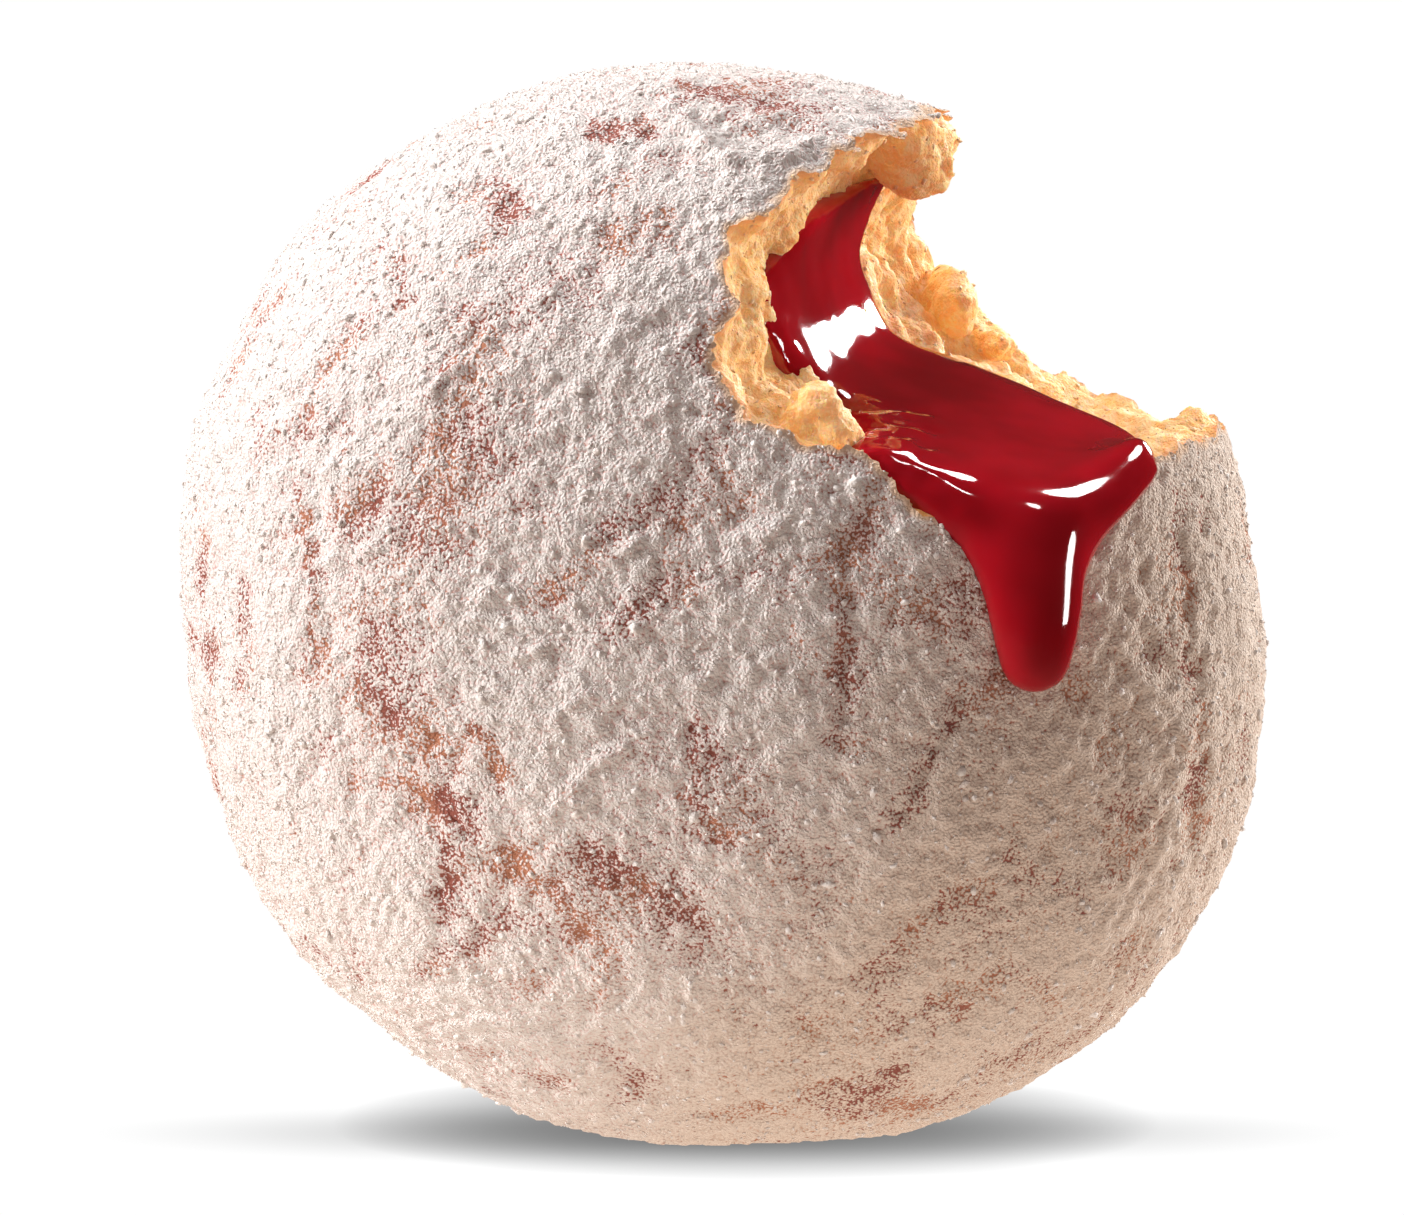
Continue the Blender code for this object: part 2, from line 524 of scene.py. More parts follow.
def round_ball(cuts: int) -> tuple[np.ndarray, np.ndarray]:
    """The corners and triangles of a ball of radius 1.

    Args:
        cuts: how finely it is faceted.

    Returns:
        The corners and the triangles.
    """
    shape = bmesh.new()
    bmesh.ops.create_icosphere(shape, subdivisions=cuts, radius=1.0)
    corners = np.array([vertex.co[:] for vertex in shape.verts])
    faces = np.array([[vertex.index for vertex in face.verts] for face in shape.faces])
    shape.free()
    return corners, faces


def lumps(name: str, several: list[Blob]) -> Object:
    """One object that holds several lumps.

    Args:
        name: the object's name.
        several: the lumps.

    Returns:
        The object.
    """
    corners, faces = round_ball(LUMP_CUTS)
    places = np.concatenate([blob.place(corners) for blob in several])
    starts = np.arange(len(several)) * len(corners)
    return show(name, mesh_from(name, places, (faces[None] + starts[:, None, None]).reshape(-1, 3)))


def line_distance(points: np.ndarray, places: np.ndarray) -> np.ndarray:
    """How far places lie from a line of straight runs.

    Args:
        points: the line's points, one row each.
        places: the places, one row each, with as many coordinates.

    Returns:
        A distance for each place.
    """
    nearest = np.full(len(places), 1.0)
    for start, end in zip(points, points[1:]):
        run = end - start
        share = np.clip((places - start) @ run / (run @ run), 0.0, 1.0)
        nearest = np.minimum(nearest, np.linalg.norm(places - start - share[:, None] * run, axis=1))
    return nearest


def near_way(way: Way, places: np.ndarray, near: float, far: float) -> np.ndarray:
    """How close places lie to a way in mm: 1 within near, softly down to 0 at far."""
    return 1.0 - soft_step(line_distance(np.array(way) * MM, places), near, far)


@dataclass(frozen=True)
class Mark:
    """A line on the front, such as a fold, a ridge or a worn band, as points from the ball's middle in mm.

    The strength is a height in metres for relief, and a share from 0 to 1 for worn sugar.
    """

    points: tuple[tuple[float, float], ...]
    width: float
    strength: float

    def reach(self, front: np.ndarray) -> np.ndarray:
        """The strength at each place, full on the line and softly down to 0 at a few widths."""
        nearest = line_distance(np.array(self.points) * MM, front)
        return self.strength * np.exp(-((nearest / self.width) ** 2))


def marks(unit: float, *rows: tuple[float, ...]) -> tuple[Mark, ...]:
    """Marks from rows of numbers.

    Args:
        unit: what the strengths are measured in.
        rows: each mark's width in mm and its strength, and then x and z of its points in mm.

    Returns:
        The marks.
    """
    made = []
    for width, strength, *line in rows:
        made.append(Mark(tuple(zip(line[::2], line[1::2])), width * MM, strength * unit))
    return tuple(made)


def frayed(places: np.ndarray, amount: float, length: float) -> np.ndarray:
    """Places as seen from the front, shifted unevenly so that marks on them get frayed edges.

    Args:
        places: places from the ball's middle, one row each.
        amount: how far they shift at most.
        length: the size of the shift's humps.

    Returns:
        The shifted places, and places far away for what lies on the back.
    """
    sway = SolidNoise(77)
    shifts = []
    for apart in (0.3, 0.5):
        broad = sway.smooth(places + apart, length)
        shifts.append(broad + 0.6 * sway.smooth(places - apart, 0.4 * length))
    front = places[:, (0, 2)] + amount * np.stack(shifts, axis=1)
    return np.where(places[:, 1:2] < 0.0, front, 1.0)


# Materials


class Graph:
    """Builds the node tree of a material, a world or a node group."""

    def __init__(self, tree: NodeTree) -> None:
        """Takes over a tree."""
        self.tree = tree

    def add(self, kind: str, **settings: object) -> Node:
        """Adds a node.

        Args:
            kind: the node's type name.
            settings: its settings by name.

        Returns:
            The node.
        """
        node = self.tree.nodes.new(kind)
        for name, value in settings.items():
            setattr(node, name, value)
        return node

    def feed(self, node: Node, values: dict[str | int, object]) -> None:
        """Links outputs to a node's inputs, or sets the inputs to values.

        Args:
            node: the node.
            values: an output, a number or a colour for each input, by its name or number.
        """
        for name, value in values.items():
            if isinstance(value, NodeSocket):
                self.tree.links.new(value, node.inputs[name])
            else:
                node.inputs[name].default_value = value

    def math(self, operation: str, *values: object) -> NodeSocket:
        """Works out a number.

        Args:
            operation: the sum to do.
            values: its outputs or numbers.

        Returns:
            The result.
        """
        node = self.add("ShaderNodeMath", operation=operation)
        self.feed(node, dict(enumerate(values)))
        return node.outputs[0]

    def ramp(
        self, value: object, low: float, high: float, to_low: float = 0.0, to_high: float = 1.0
    ) -> NodeSocket:
        """Maps a number softly from one range to another.

        Args:
            value: the number.
            low: where the range starts.
            high: where it ends.
            to_low: the result at low.
            to_high: the result at high.

        Returns:
            The mapped number.
        """
        node = self.add("ShaderNodeMapRange", interpolation_type="SMOOTHSTEP")
        names = ("Value", "From Min", "From Max", "To Min", "To Max")
        self.feed(node, dict(zip(names, (value, low, high, to_low, to_high))))
        return node.outputs[0]

    def mix(self, share: object, first: object, second: object) -> NodeSocket:
        """Mixes two colours.

        Args:
            share: how much of the second.
            first: a colour or an output.
            second: a colour or an output.

        Returns:
            The mixed colour.
        """
        node = self.add("ShaderNodeMix", data_type="RGBA")
        self.feed(node, {"Factor": share, 6: first, 7: second})
        return node.outputs[2]

    def noise(self, length: float, detail: float = 2.0, rough: float = 0.5) -> NodeSocket:
        """Soft noise over the surface.

        Args:
            length: the size of its humps in metres.
            detail: how many finer layers it has.
            rough: how strong those are.

        Returns:
            A number from 0 to 1.
        """
        node = self.add("ShaderNodeTexNoise")
        look = {"Scale": 1.0 / length, "Detail": detail, "Roughness": rough}
        self.feed(node, {"Vector": self.place()} | look)
        return node.outputs[0]

    def place(self) -> NodeSocket:
        """The place on the object, in metres."""
        return self.add("ShaderNodeTexCoord").outputs["Object"]

    def attribute(self, name: str) -> NodeSocket:
        """A number that the mesh keeps for each vertex."""
        return self.add("ShaderNodeAttribute", attribute_name=name).outputs["Fac"]

    def bump(self, height: object, distance: float, strength: float = 1.0) -> NodeSocket:
        """Turns heights into a bent normal.

        Args:
            height: the heights, from 0 to 1.
            distance: how high 1 stands, in metres.
            strength: how much of the bend is kept.

        Returns:
            The normal.
        """
        node = self.add("ShaderNodeBump")
        self.feed(node, {"Height": height, "Distance": distance, "Strength": strength})
        return node.outputs[0]

    def length(self, vector: object) -> NodeSocket:
        """How long a vector is."""
        node = self.add("ShaderNodeVectorMath", operation="LENGTH")
        self.feed(node, {0: vector})
        return node.outputs["Value"]


def new_material(name: str) -> tuple[Material, Graph, Node]:
    """A material with a Principled shader and nothing else.

    Args:
        name: its name.

    Returns:
        The material, its graph and its shader node.
    """
    material = bpy.data.materials.new(name)
    material.use_nodes = True
    shader = material.node_tree.nodes["Principled BSDF"]
    return material, Graph(material.node_tree), shader


def grain_group() -> NodeTree:
    """The grain of sugar and crumb: its height, where it is missing, and painted shade in its low spots
    round those places.

    Returns:
        The node group, made on the first call.
    """
    if "grain" in bpy.data.node_groups:
        return bpy.data.node_groups["grain"]
    tree = bpy.data.node_groups.new("grain", "ShaderNodeTree")
    for name, start in (("Size", 0.0003), ("Bare", 0.2), ("Softness", 0.08)):
        socket = tree.interface.new_socket(name, in_out="INPUT", socket_type="NodeSocketFloat")
        socket.default_value = start
    for name in ("Speckle", "ShadeVeil", "Height"):
        tree.interface.new_socket(name, in_out="OUTPUT", socket_type="NodeSocketFloat")
    graph = Graph(tree)
    given = graph.add("NodeGroupInput").outputs
    result = graph.add("NodeGroupOutput")
    look = {"Vector": graph.place(), "Scale": graph.math("DIVIDE", 1.0, given["Size"])}
    soft = graph.add("ShaderNodeTexNoise")
    graph.feed(soft, look | {"Detail": 2.0, "Roughness": 0.6})
    grains = graph.add("ShaderNodeTexVoronoi")
    graph.feed(grains, look)
    # Soft humps, less the hollows between the grains, stretched to use the whole range from 0 to 1.
    humps = graph.math("MULTIPLY_ADD", soft.outputs[0], 0.65, 0.39)
    level = graph.math("SUBTRACT", humps, graph.math("MULTIPLY", grains.outputs["Distance"], 0.45))
    level = graph.ramp(level, 0.20, 0.74)
    graph.feed(result, {"Height": level})
    # Speckle marks the bare places; the other output is painted shade in the grain's low spots round them.
    for name, wider in (("Speckle", 0.0), ("ShadeVeil", 0.30)):
        edge = graph.math("ADD", given["Bare"], wider)
        soft_edge = graph.math("ADD", given["Softness"], wider * 0.6)
        low, high = (graph.math(side, edge, soft_edge) for side in ("SUBTRACT", "ADD"))
        graph.feed(result, {name: graph.ramp(level, low, high, 1.0, 0.0)})
    return tree


def add_grain(graph: Graph, size: float, bare: object, softness: float = 0.08) -> Node:
    """Places the grain group in a material.

    Args:
        graph: the material's graph.
        size: the grain's size in metres.
        bare: how much of the surface has no grain.
        softness: how soft the edges of those places are.

    Returns:
        The group node.
    """
    node = graph.add("ShaderNodeGroup", node_tree=grain_group())
    graph.feed(node, {"Size": size, "Bare": bare, "Softness": softness})
    return node


@dataclass(frozen=True)
class SugarFinish:
    """Icing sugar on fried crust.

    It is white where it lies thick and reddish brown where it is gone. Its pinkish tone between the grains
    and in the relief's hollows is painted shade, and its beige towards the lower right is partly thinner
    sugar and partly painted shade.
    """

    name: str = "sugared_crust"
    sugar: Colour = (0.90, 0.87, 0.85, 1.0)
    pink_shade: Colour = (0.75, 0.52, 0.50, 1.0)
    film_and_shade: Colour = (0.83, 0.72, 0.63, 1.0)
    film_shade_between: Colour = (0.60, 0.45, 0.36, 1.0)
    red_crust: Colour = (0.34, 0.115, 0.09, 1.0)
    pale_crust: Colour = (0.52, 0.23, 0.14, 1.0)
    peach: Colour = (0.86, 0.62, 0.44, 1.0)
    grain: float = 0.25 * MM
    grain_height: float = 0.14 * MM
    edge_softness: float = 0.11
    wear_and_shade_hollow: float = 0.45
    worn_anywhere: float = 0.62
    speckle_shade_hollow: float = 0.10
    speckle_thin_and_shade: float = 0.16
    shade_veil_hollow: float = 0.35
    shade_veil_anywhere: float = 0.6
    roughness: float = 0.85
    gloss: float = 0.25

    def make(self) -> Material:
        """Builds the material, in which the sugar goes first from the hollows, partly as wear and partly as
        painted shade.

        Returns:
            The material.
        """
        material, graph, shader = new_material(self.name)
        bare, thin_and_shade, hollow = (graph.attribute(name) for name in ("bare", "thin_and_shade", "hollow"))
        # The hollow mask is partly wear and partly painted shade: more crust and a darker tone show in the
        # relief's hollows.
        worn = graph.math("MULTIPLY_ADD", hollow, self.wear_and_shade_hollow, self.worn_anywhere)
        least = graph.math("MULTIPLY_ADD", hollow, self.speckle_shade_hollow, -0.01)
        thin_shade_hollow = graph.math("MULTIPLY", thin_and_shade, hollow)
        least = graph.math("MULTIPLY_ADD", thin_shade_hollow, self.speckle_thin_and_shade, least)
        missing = graph.math("MULTIPLY_ADD", bare, worn, least)
        grain = add_grain(graph, self.grain, missing, self.edge_softness)
        tone = graph.ramp(graph.noise(6.0 * MM, 1.0), 0.42, 0.62)
        crust = graph.mix(tone, self.red_crust, self.pale_crust)
        # Towards the lower right the colour darkens, partly as thinner sugar and partly as painted shade;
        # between the grains it is painted shade.
        sugar = graph.mix(thin_and_shade, self.sugar, self.film_and_shade)
        between = graph.mix(thin_and_shade, self.pink_shade, self.film_shade_between)
        strength = graph.math("MULTIPLY_ADD", hollow, self.shade_veil_hollow, self.shade_veil_anywhere)
        shade_veil = graph.math("MULTIPLY", grain.outputs["ShadeVeil"], strength)
        speckled = graph.mix(grain.outputs["Speckle"], graph.mix(shade_veil, sugar, between), crust)
        graph.feed(shader, {
            "Base Color": graph.mix(graph.attribute("rim"), speckled, self.peach),
            "Roughness": self.roughness,
            "Specular IOR Level": self.gloss,
            "Normal": graph.bump(grain.outputs["Height"], self.grain_height),
        })
        return material


@dataclass(frozen=True)
class LooseSugarFinish:
    """Sugar that lies loose as small clumps and grains."""

    name: str = "loose_sugar"
    light: Colour = (0.92, 0.90, 0.885, 1.0)
    dull: Colour = (0.84, 0.77, 0.73, 1.0)
    grain: float = 0.20 * MM
    grain_height: float = 0.08 * MM
    roughness: float = 0.75
    gloss: float = 0.3

    def make(self) -> Material:
        """Builds the material.

        Returns:
            The material.
        """
        material, graph, shader = new_material(self.name)
        grain = add_grain(graph, self.grain, 0.2)
        tone = graph.ramp(graph.noise(0.9 * MM, 2.0), 0.35, 0.7)
        graph.feed(shader, {
            "Base Color": graph.mix(tone, self.light, self.dull),
            "Roughness": self.roughness,
            "Specular IOR Level": self.gloss,
            "Normal": graph.bump(grain.outputs["Height"], self.grain_height, 0.8),
        })
        return material


@dataclass(frozen=True)
class CrumbFinish:
    """Torn bready crumb: cream, toasted next to the crust, golden orange at random and as painted shade in
    its pores.
    """

    name: str = "torn_crumb"
    cream: Colour = (0.95, 0.75, 0.42, 1.0)
    golden: Colour = (0.91, 0.50, 0.17, 1.0)
    toast: Colour = (0.78, 0.40, 0.19, 1.0)
    soft: float = 0.6
    soft_depth: float = 1.4 * MM
    soft_colour: tuple[float, float, float] = (1.0, 0.45, 0.16)
    painted_glow: Colour = (1.0, 0.45, 0.13, 1.0)
    grain: float = 0.26 * MM
    grain_height: float = 0.10 * MM
    roughness: float = 0.6

    def make(self) -> Material:
        """Builds the material.

        Returns:
            The material.
        """
        material, graph, shader = new_material(self.name)
        grain = add_grain(graph, self.grain, 0.25, 0.2)
        tone = graph.ramp(graph.noise(1.1 * MM, 4.0, 0.65), 0.40, 0.60)
        # Golden orange in the pores and between the grains is painted shade; the noise adds golden patches
        # at random.
        deep = graph.math("MAXIMUM", graph.attribute("pore_shade"), graph.math("MULTIPLY", tone, 0.7))
        crumb = graph.mix(deep, self.cream, self.golden)
        crumb = graph.mix(graph.math("MULTIPLY", grain.outputs["ShadeVeil"], 0.3), crumb, self.golden)
        # The emission is painted light: it stands in for light passing through the crumb.
        graph.feed(shader, {
            "Base Color": graph.mix(graph.attribute("toast"), crumb, self.toast),
            "Roughness": self.roughness,
            "Subsurface Weight": self.soft,
            "Subsurface Radius": self.soft_colour,
            "Subsurface Scale": self.soft_depth,
            "Emission Color": self.painted_glow,
            "Emission Strength": graph.attribute("painted_glow"),
            "Normal": graph.bump(grain.outputs["Height"], self.grain_height, 0.8),
        })
        return material


@dataclass(frozen=True)
class JamFinish:
    """Smooth, wet red jam."""

    name: str = "jam"
    red: Colour = (0.43, 0.006, 0.016, 1.0)
    deep_red: Colour = (0.31, 0.004, 0.010, 1.0)
    clear: float = 0.35
    clear_depth: float = 2.5 * MM
    clear_colour: tuple[float, float, float] = (1.0, 0.10, 0.12)
    smoothest: float = 0.05
    roughest: float = 0.11
    coat: float = 0.25
    coat_roughness: float = 0.03

    def make(self) -> Material:
        """Builds the material.

        Returns:
            The material.
        """
        material, graph, shader = new_material(self.name)
        tone = graph.ramp(graph.noise(9.0 * MM, 2.0), 0.35, 0.65)
        rough = graph.ramp(graph.noise(4.0 * MM, 2.0), 0.3, 0.7, self.smoothest, self.roughest)
        graph.feed(shader, {
            "Base Color": graph.mix(tone, self.red, self.deep_red),
            "Roughness": rough,
            "IOR": 1.45,
            "Subsurface Weight": self.clear,
            "Subsurface Radius": self.clear_colour,
            "Subsurface Scale": self.clear_depth,
            "Coat Weight": self.coat,
            "Coat Roughness": self.coat_roughness,
            "Normal": graph.bump(graph.noise(3.0 * MM, 1.0), 0.06 * MM, 0.3),
        })
        return material


# The pieces


GRAIN_ANGLE = math.radians(42.0)
SUGAR_RELIEF = (
    Layer(Kind.HUMPS, 0.30 * MM, 9.0 * MM, 11),
    Layer(Kind.HUMPS, 0.18 * MM, 3.4 * MM, 12, 1.3, GRAIN_ANGLE),
    Layer(Kind.CLODS, 0.22 * MM, 2.1 * MM, 13, 1.2, GRAIN_ANGLE),
    Layer(Kind.CLODS, 0.25 * MM, 1.25 * MM, 16, 1.1, GRAIN_ANGLE),
    Layer(Kind.HUMPS, 0.18 * MM, 0.80 * MM, 15),
)

FOLDS = marks(
    MM,
    (0.55, 0.75, -3.4, 38.5, -1.8, 36.9, -0.3, 35.8, 2.8, 35.4, 6.1, 36.4),
    (0.8, -0.40, -2.0, 39.0, 1.5, 37.4, 5.6, 38.0),
    (0.6, -0.25, 34.8, 11.2, 35.1, 5.0, 35.9, -1.9, 36.9, -9.0, 36.3, -17.8),
    (0.35, -0.30, 20.8, 5.6, 21.6, 1.1, 20.1, -3.4),
    (0.40, -0.38, 17.8, -4.2, 16.3, -7.9, 13.7, -12.5, 11.8, -14.8),
    (0.6, -0.40, 8.9, 7.3, 9.3, 1.3, 8.6, -6.3),
    (0.6, -0.30, -31.3, 11.3, -31.0, 5.2, -30.4, -0.8),
)

RIDGES = marks(
    MM,
    (0.42, 0.32, -16.0, -2.2, -13.8, -0.5),
    (0.42, 0.32, -13.1, -6.5, -10.7, -4.0),
    (0.50, 0.40, -12.7, -12.5, -10.4, -10.1, -7.8, -8.4),
    (0.45, 0.40, -13.3, -13.9, -11.5, -12.5),
    (0.50, 0.40, -30.1, 12.1, -28.3, 14.5),
    (0.45, 0.30, -13.9, 25.1, -11.5, 27.4),
    (0.50, 0.35, -8.6, 5.8, -6.3, 7.3),
    (0.45, 0.35, -18.4, 2.6, -16.9, 3.8),
    (0.50, 0.35, -2.5, 2.8, -0.7, 3.9),
    (0.50, 0.40, -22.3, 18.3, -20.4, 19.9),
    (0.45, 0.35, -27.7, 5.4, -26.7, 7.0),
    (0.55, 0.40, -6.3, 16.2, -4.2, 17.4),
    (0.50, 0.35, 2.7, 7.3, 3.8, 8.2),
)

WORN = marks(
    1.0,
    (0.9, 0.7, -31.5, 3.9, -31.5, 2.2),
    (1.0, 0.6, -31.5, -1.3, -31.3, -3.6),
    (1.2, 0.75, -27.7, 0.9, -26.7, -0.6, -26.1, -2.5),
    (1.6, 1.0, -27.3, -4.5, -24.6, -6.3, -22.7, -8.5),
    (0.9, 1.1, -18.6, -7.9, -17.7, -9.5, -16.8, -10.9),
    (1.4, 0.95, -24.3, -11.6, -22.0, -12.8, -19.8, -13.6),
    (0.7, 0.9, -21.1, -16.7, -21.3, -19.1, -21.5, -20.6),
    (1.6, 0.85, -16.5, -17.4, -14.0, -19.6, -10.6, -22.3),
    (1.7, 0.8, -10.6, -17.1, -6.4, -19.0, -2.8, -21.4),
    (1.2, 1.0, -2.3, -12.5, -1.1, -13.9, -0.2, -15.3),
    (0.8, 0.6, -1.8, -6.4, -1.7, -9.3, -1.4, -11.6),
    (0.9, 0.55, -22.5, -19.9, -20.2, -21.8),
    (1.2, 0.6, -25.0, 27.9, -24.4, 26.2),
    (1.2, 0.65, -19.3, 23.8, -17.9, 21.7),
    (1.3, 0.6, -17.8, 33.1, -16.5, 31.9),
    (1.3, 0.55, -6.4, 31.6, -4.5, 30.4),
    (1.6, 0.6, -21.5, 10.5, -20.3, 9.2),
    (0.9, 0.85, -9.9, 38.3, -5.7, 37.9),
    (0.9, 0.95, -3.4, 41.1, 1.2, 40.8, 5.9, 39.5),
    (0.7, 0.7, 0.0, 38.6, 4.0, 38.4),
    (0.5, 0.7, -32.5, 11.3, -31.8, 5.2, -31.0, -0.8),
    (0.8, 0.75, 8.9, 7.3, 9.3, 1.3, 8.6, -6.3),
    (0.9, 0.5, 5.0, -0.2, 5.7, -1.7),
    (0.9, 0.55, 8.0, -7.8, 9.5, -8.2),
    (1.0, 0.6, 23.6, -27.3, 24.8, -28.3),
    (0.9, 0.5, 16.2, -29.5, 18.2, -28.7),
    (0.8, 0.45, 14.5, -21.9, 16.1, -21.6),
    (0.8, 0.45, 11.9, -25.1, 13.8, -23.5),
    (0.45, 0.45, 20.8, 5.6, 21.6, 1.1, 20.1, -3.4),
    (0.55, 0.6, 17.8, -4.2, 16.3, -7.9, 13.7, -12.5, 11.8, -14.8),
    (0.6, 0.6, 34.8, 11.2, 35.1, 5.0, 35.9, -1.9, 36.9, -9.0, 36.3, -17.8),
    (0.9, 0.5, 25.7, -19.2, 26.9, -20.9),
    (0.9, 0.5, 21.8, -17.4, 23.4, -19.1),
)

BLUSH = marks(
    1.0,
    (3.4, 0.52, -19.5, 20.5, -19.0, 14.5, -21.5, 10.0, -23.5, 6.5),
    (2.8, 0.52, -24.8, 1.0, -24.5, -4.5, -22.0, -9.0),
    (2.4, 0.50, -21.0, -14.5, -18.5, -18.5),
    (3.2, 0.50, -15.0, -18.0, -10.0, -20.5, -4.0, -21.0),
    (2.8, 0.45, 1.0, -11.5, 3.5, -16.0),
    (2.6, 0.36, -11.0, 26.0, -15.0, 24.0),
    (1.9, 0.42, -0.8, 13.2, -0.6, 10.5),
)


@dataclass
class Dough:
    """The fried ball with its bite: the sugared crust in two halves, and the torn crumb."""

    ball: Ball = field(default_factory=Ball)
    ball_cuts: int = 178
    floor_height: float = -0.0420
    inset: float = 0.30 * MM
    bite: Bite = field(default_factory=Bite)
    bite_grain: float = 0.36 * MM
    crag_height: float = 0.0042
    crag_length: float = 0.0048
    tear_smoothing: int = 4
    jam_way: Way = (
        (13.4, 2.5, 33.6),
        (8.0, -5.0, 29.8),
        (5.4, -9.5, 24.8),
        (10.0, -7.0, 18.0),
        (20.0, -9.0, 13.5),
        (29.0, -11.0, 11.5),
        (24.0, -17.0, 11.0),
        (15.0, -17.0, 15.0),
        (14.0, -24.0, 13.0),
        (25.0, -27.0, 10.0),
    )
    jam_reach: Span = (5.5 * MM, 8.5 * MM)
    jam_calm: float = 0.75
    lip_drop: float = 1.5 * MM
    lip_way: Way = ((13.0, -27.0, 12.0), (17.0, -29.0, 9.5), (27.0, -27.0, 10.0), (32.0, -23.0, 13.0))
    lip_reach: Span = (3.0 * MM, 6.0 * MM)
    lip_calm: float = 0.85
    ridge_drop: float = 2.2 * MM
    ridge_way: Way = ((13.0, -14.0, 16.5), (16.0, -19.0, 15.5), (17.5, -25.0, 12.5))
    ridge_reach: Span = (3.0 * MM, 6.5 * MM)
    chunks: tuple[Blob, ...] = blobs(
        (6.7, -27.5, 16.8, 1.8, 2.4, 2.2, 20.0),
        (8.2, -27.8, 14.8, 2.1, 2.2, 1.7, -15.0),
        (5.6, -27.0, 14.9, 1.9, 2.4, 1.8),
        (18.6, 18.5, 24.0, 1.8, 7.0, 3.0, 10.0),
        (19.7, 20.0, 22.6, 2.1, 4.0, 1.3, -20.0),
        (21.8, 19.5, 20.6, 2.0, 6.0, 1.6, 15.0),
        (37.8, 1.0, 13.6, 1.7, 2.8, 2.1, -15.0),
        (36.2, -1.0, 12.4, 1.8, 2.6, 1.4),
        (14.2, 1.0, 37.4, 3.6, 8.0, 3.0),
        (16.2, -0.5, 37.4, 2.0, 5.6, 1.9, -10.0),
        (16.8, 1.0, 35.4, 1.3, 3.0, 2.1, 20.0),
        (15.7, -0.5, 34.4, 2.0, 4.0, 1.3, -25.0),
        (14.7, 0.5, 35.6, 2.8, 6.0, 1.8),
    )
    tear_relief: tuple[Layer, ...] = (
        Layer(Kind.PORES, 0.30 * MM, 2.4 * MM, 21),
        Layer(Kind.PORES, 0.20 * MM, 1.2 * MM, 22),
        Layer(Kind.HUMPS, 0.34 * MM, 3.2 * MM, 23),
        Layer(Kind.RIDGES, 0.24 * MM, 1.3 * MM, 25),
        Layer(Kind.CLODS, 0.22 * MM, 0.9 * MM, 24),
    )
    worn_depth: float = 0.14 * MM
    patch_strength: float = 0.62
    patch_span: Span = (0.05, 0.95)
    # Some of these spans and numbers shape painted shade in the sugar and the crumb, and the crumb's emitted
    # orange as painted light.
    thin_and_shade_span: Span = (4.0 * MM, 32.0 * MM)
    hollow_shade_span: Span = (-0.35 * MM, 0.45 * MM)
    rim_span: Span = (0.15 * MM, 0.75 * MM)
    pore_shade_span: Span = (-0.05 * MM, 0.55 * MM)
    toast_span: Span = (0.20 * MM, 1.4 * MM)
    painted_glow_least: float = 0.10
    painted_glow_thinner_wall: float = 0.12
    painted_glow_depth: float = 5.0 * MM
    pieces: dict[str, Object] = field(default_factory=dict)

    def unit_cube_grid(self) -> tuple[np.ndarray, np.ndarray]:
        """Even directions all round, from a cube's grid blown up to a sphere.

        Returns:
            The directions and the four-sided faces between them.
        """
        ticks = np.tan(np.linspace(-math.pi / 4.0, math.pi / 4.0, self.ball_cuts + 1))
        across, up = (grid.ravel() for grid in np.meshgrid(ticks, ticks, indexing="ij"))
        row = self.ball_cuts + 1
        corner = (np.arange(self.ball_cuts)[:, None] * row + np.arange(self.ball_cuts)).ravel()
        quads = np.stack((corner, corner + row, corner + row + 1, corner + 1), axis=1)
        points, faces = [], []
        for axis, side in product(range(3), (1.0, -1.0)):
            cube = np.empty((len(across), 3))
            cube[:, axis] = side
            cube[:, (axis + 1) % 3] = across
            cube[:, (axis + 2) % 3] = up
            faces.append((quads if side > 0.0 else quads[:, ::-1]) + len(points) * len(across))
            points.append(cube)
        places = np.concatenate(points)
        directions = places / np.linalg.norm(places, axis=1, keepdims=True)
        rounded = np.round(directions, 6)
        _, kept, numbers = np.unique(rounded, axis=0, return_index=True, return_inverse=True)
        return directions[kept], numbers.ravel()[np.concatenate(faces)]

    def worn_share(self, places: np.ndarray) -> np.ndarray:
        """Where the sugar is worn away.

        Args:
            places: places from the ball's middle, one row each.

        Returns:
            0 for thick sugar to 1 for bare crust, one number for each place.
        """
        front = frayed(places, 1.3 * MM, 2.2 * MM)
        worn = np.zeros(len(places))
        for mark in WORN + BLUSH:
            worn = np.maximum(worn, mark.reach(front))
        streaks = Layer(Kind.HUMPS, 1.0, 3.6 * MM, 32, 1.8, GRAIN_ANGLE).heights(places)
        fields = SolidNoise(33).smooth(places, 12.0 * MM)
        patchy = self.patch_strength * soft_step(streaks + 0.7 * fields, *self.patch_span)
        patchy = patchy * (1.0 - 0.25 * self.thin_and_shade_share(places))
        return np.clip(np.maximum(worn, patchy), 0.0, 1.0)

    def thin_and_shade_share(self, places: np.ndarray) -> np.ndarray:
        """How much thinner the sugar lies, partly as painted shade: 0 at the upper left, 1 at the lower
        right.
        """
        uneven = 4.0 * MM * SolidNoise(35).smooth(places, 9.0 * MM)
        return soft_step(places[:, 0] - 0.7 * places[:, 2] + uneven, *self.thin_and_shade_span)

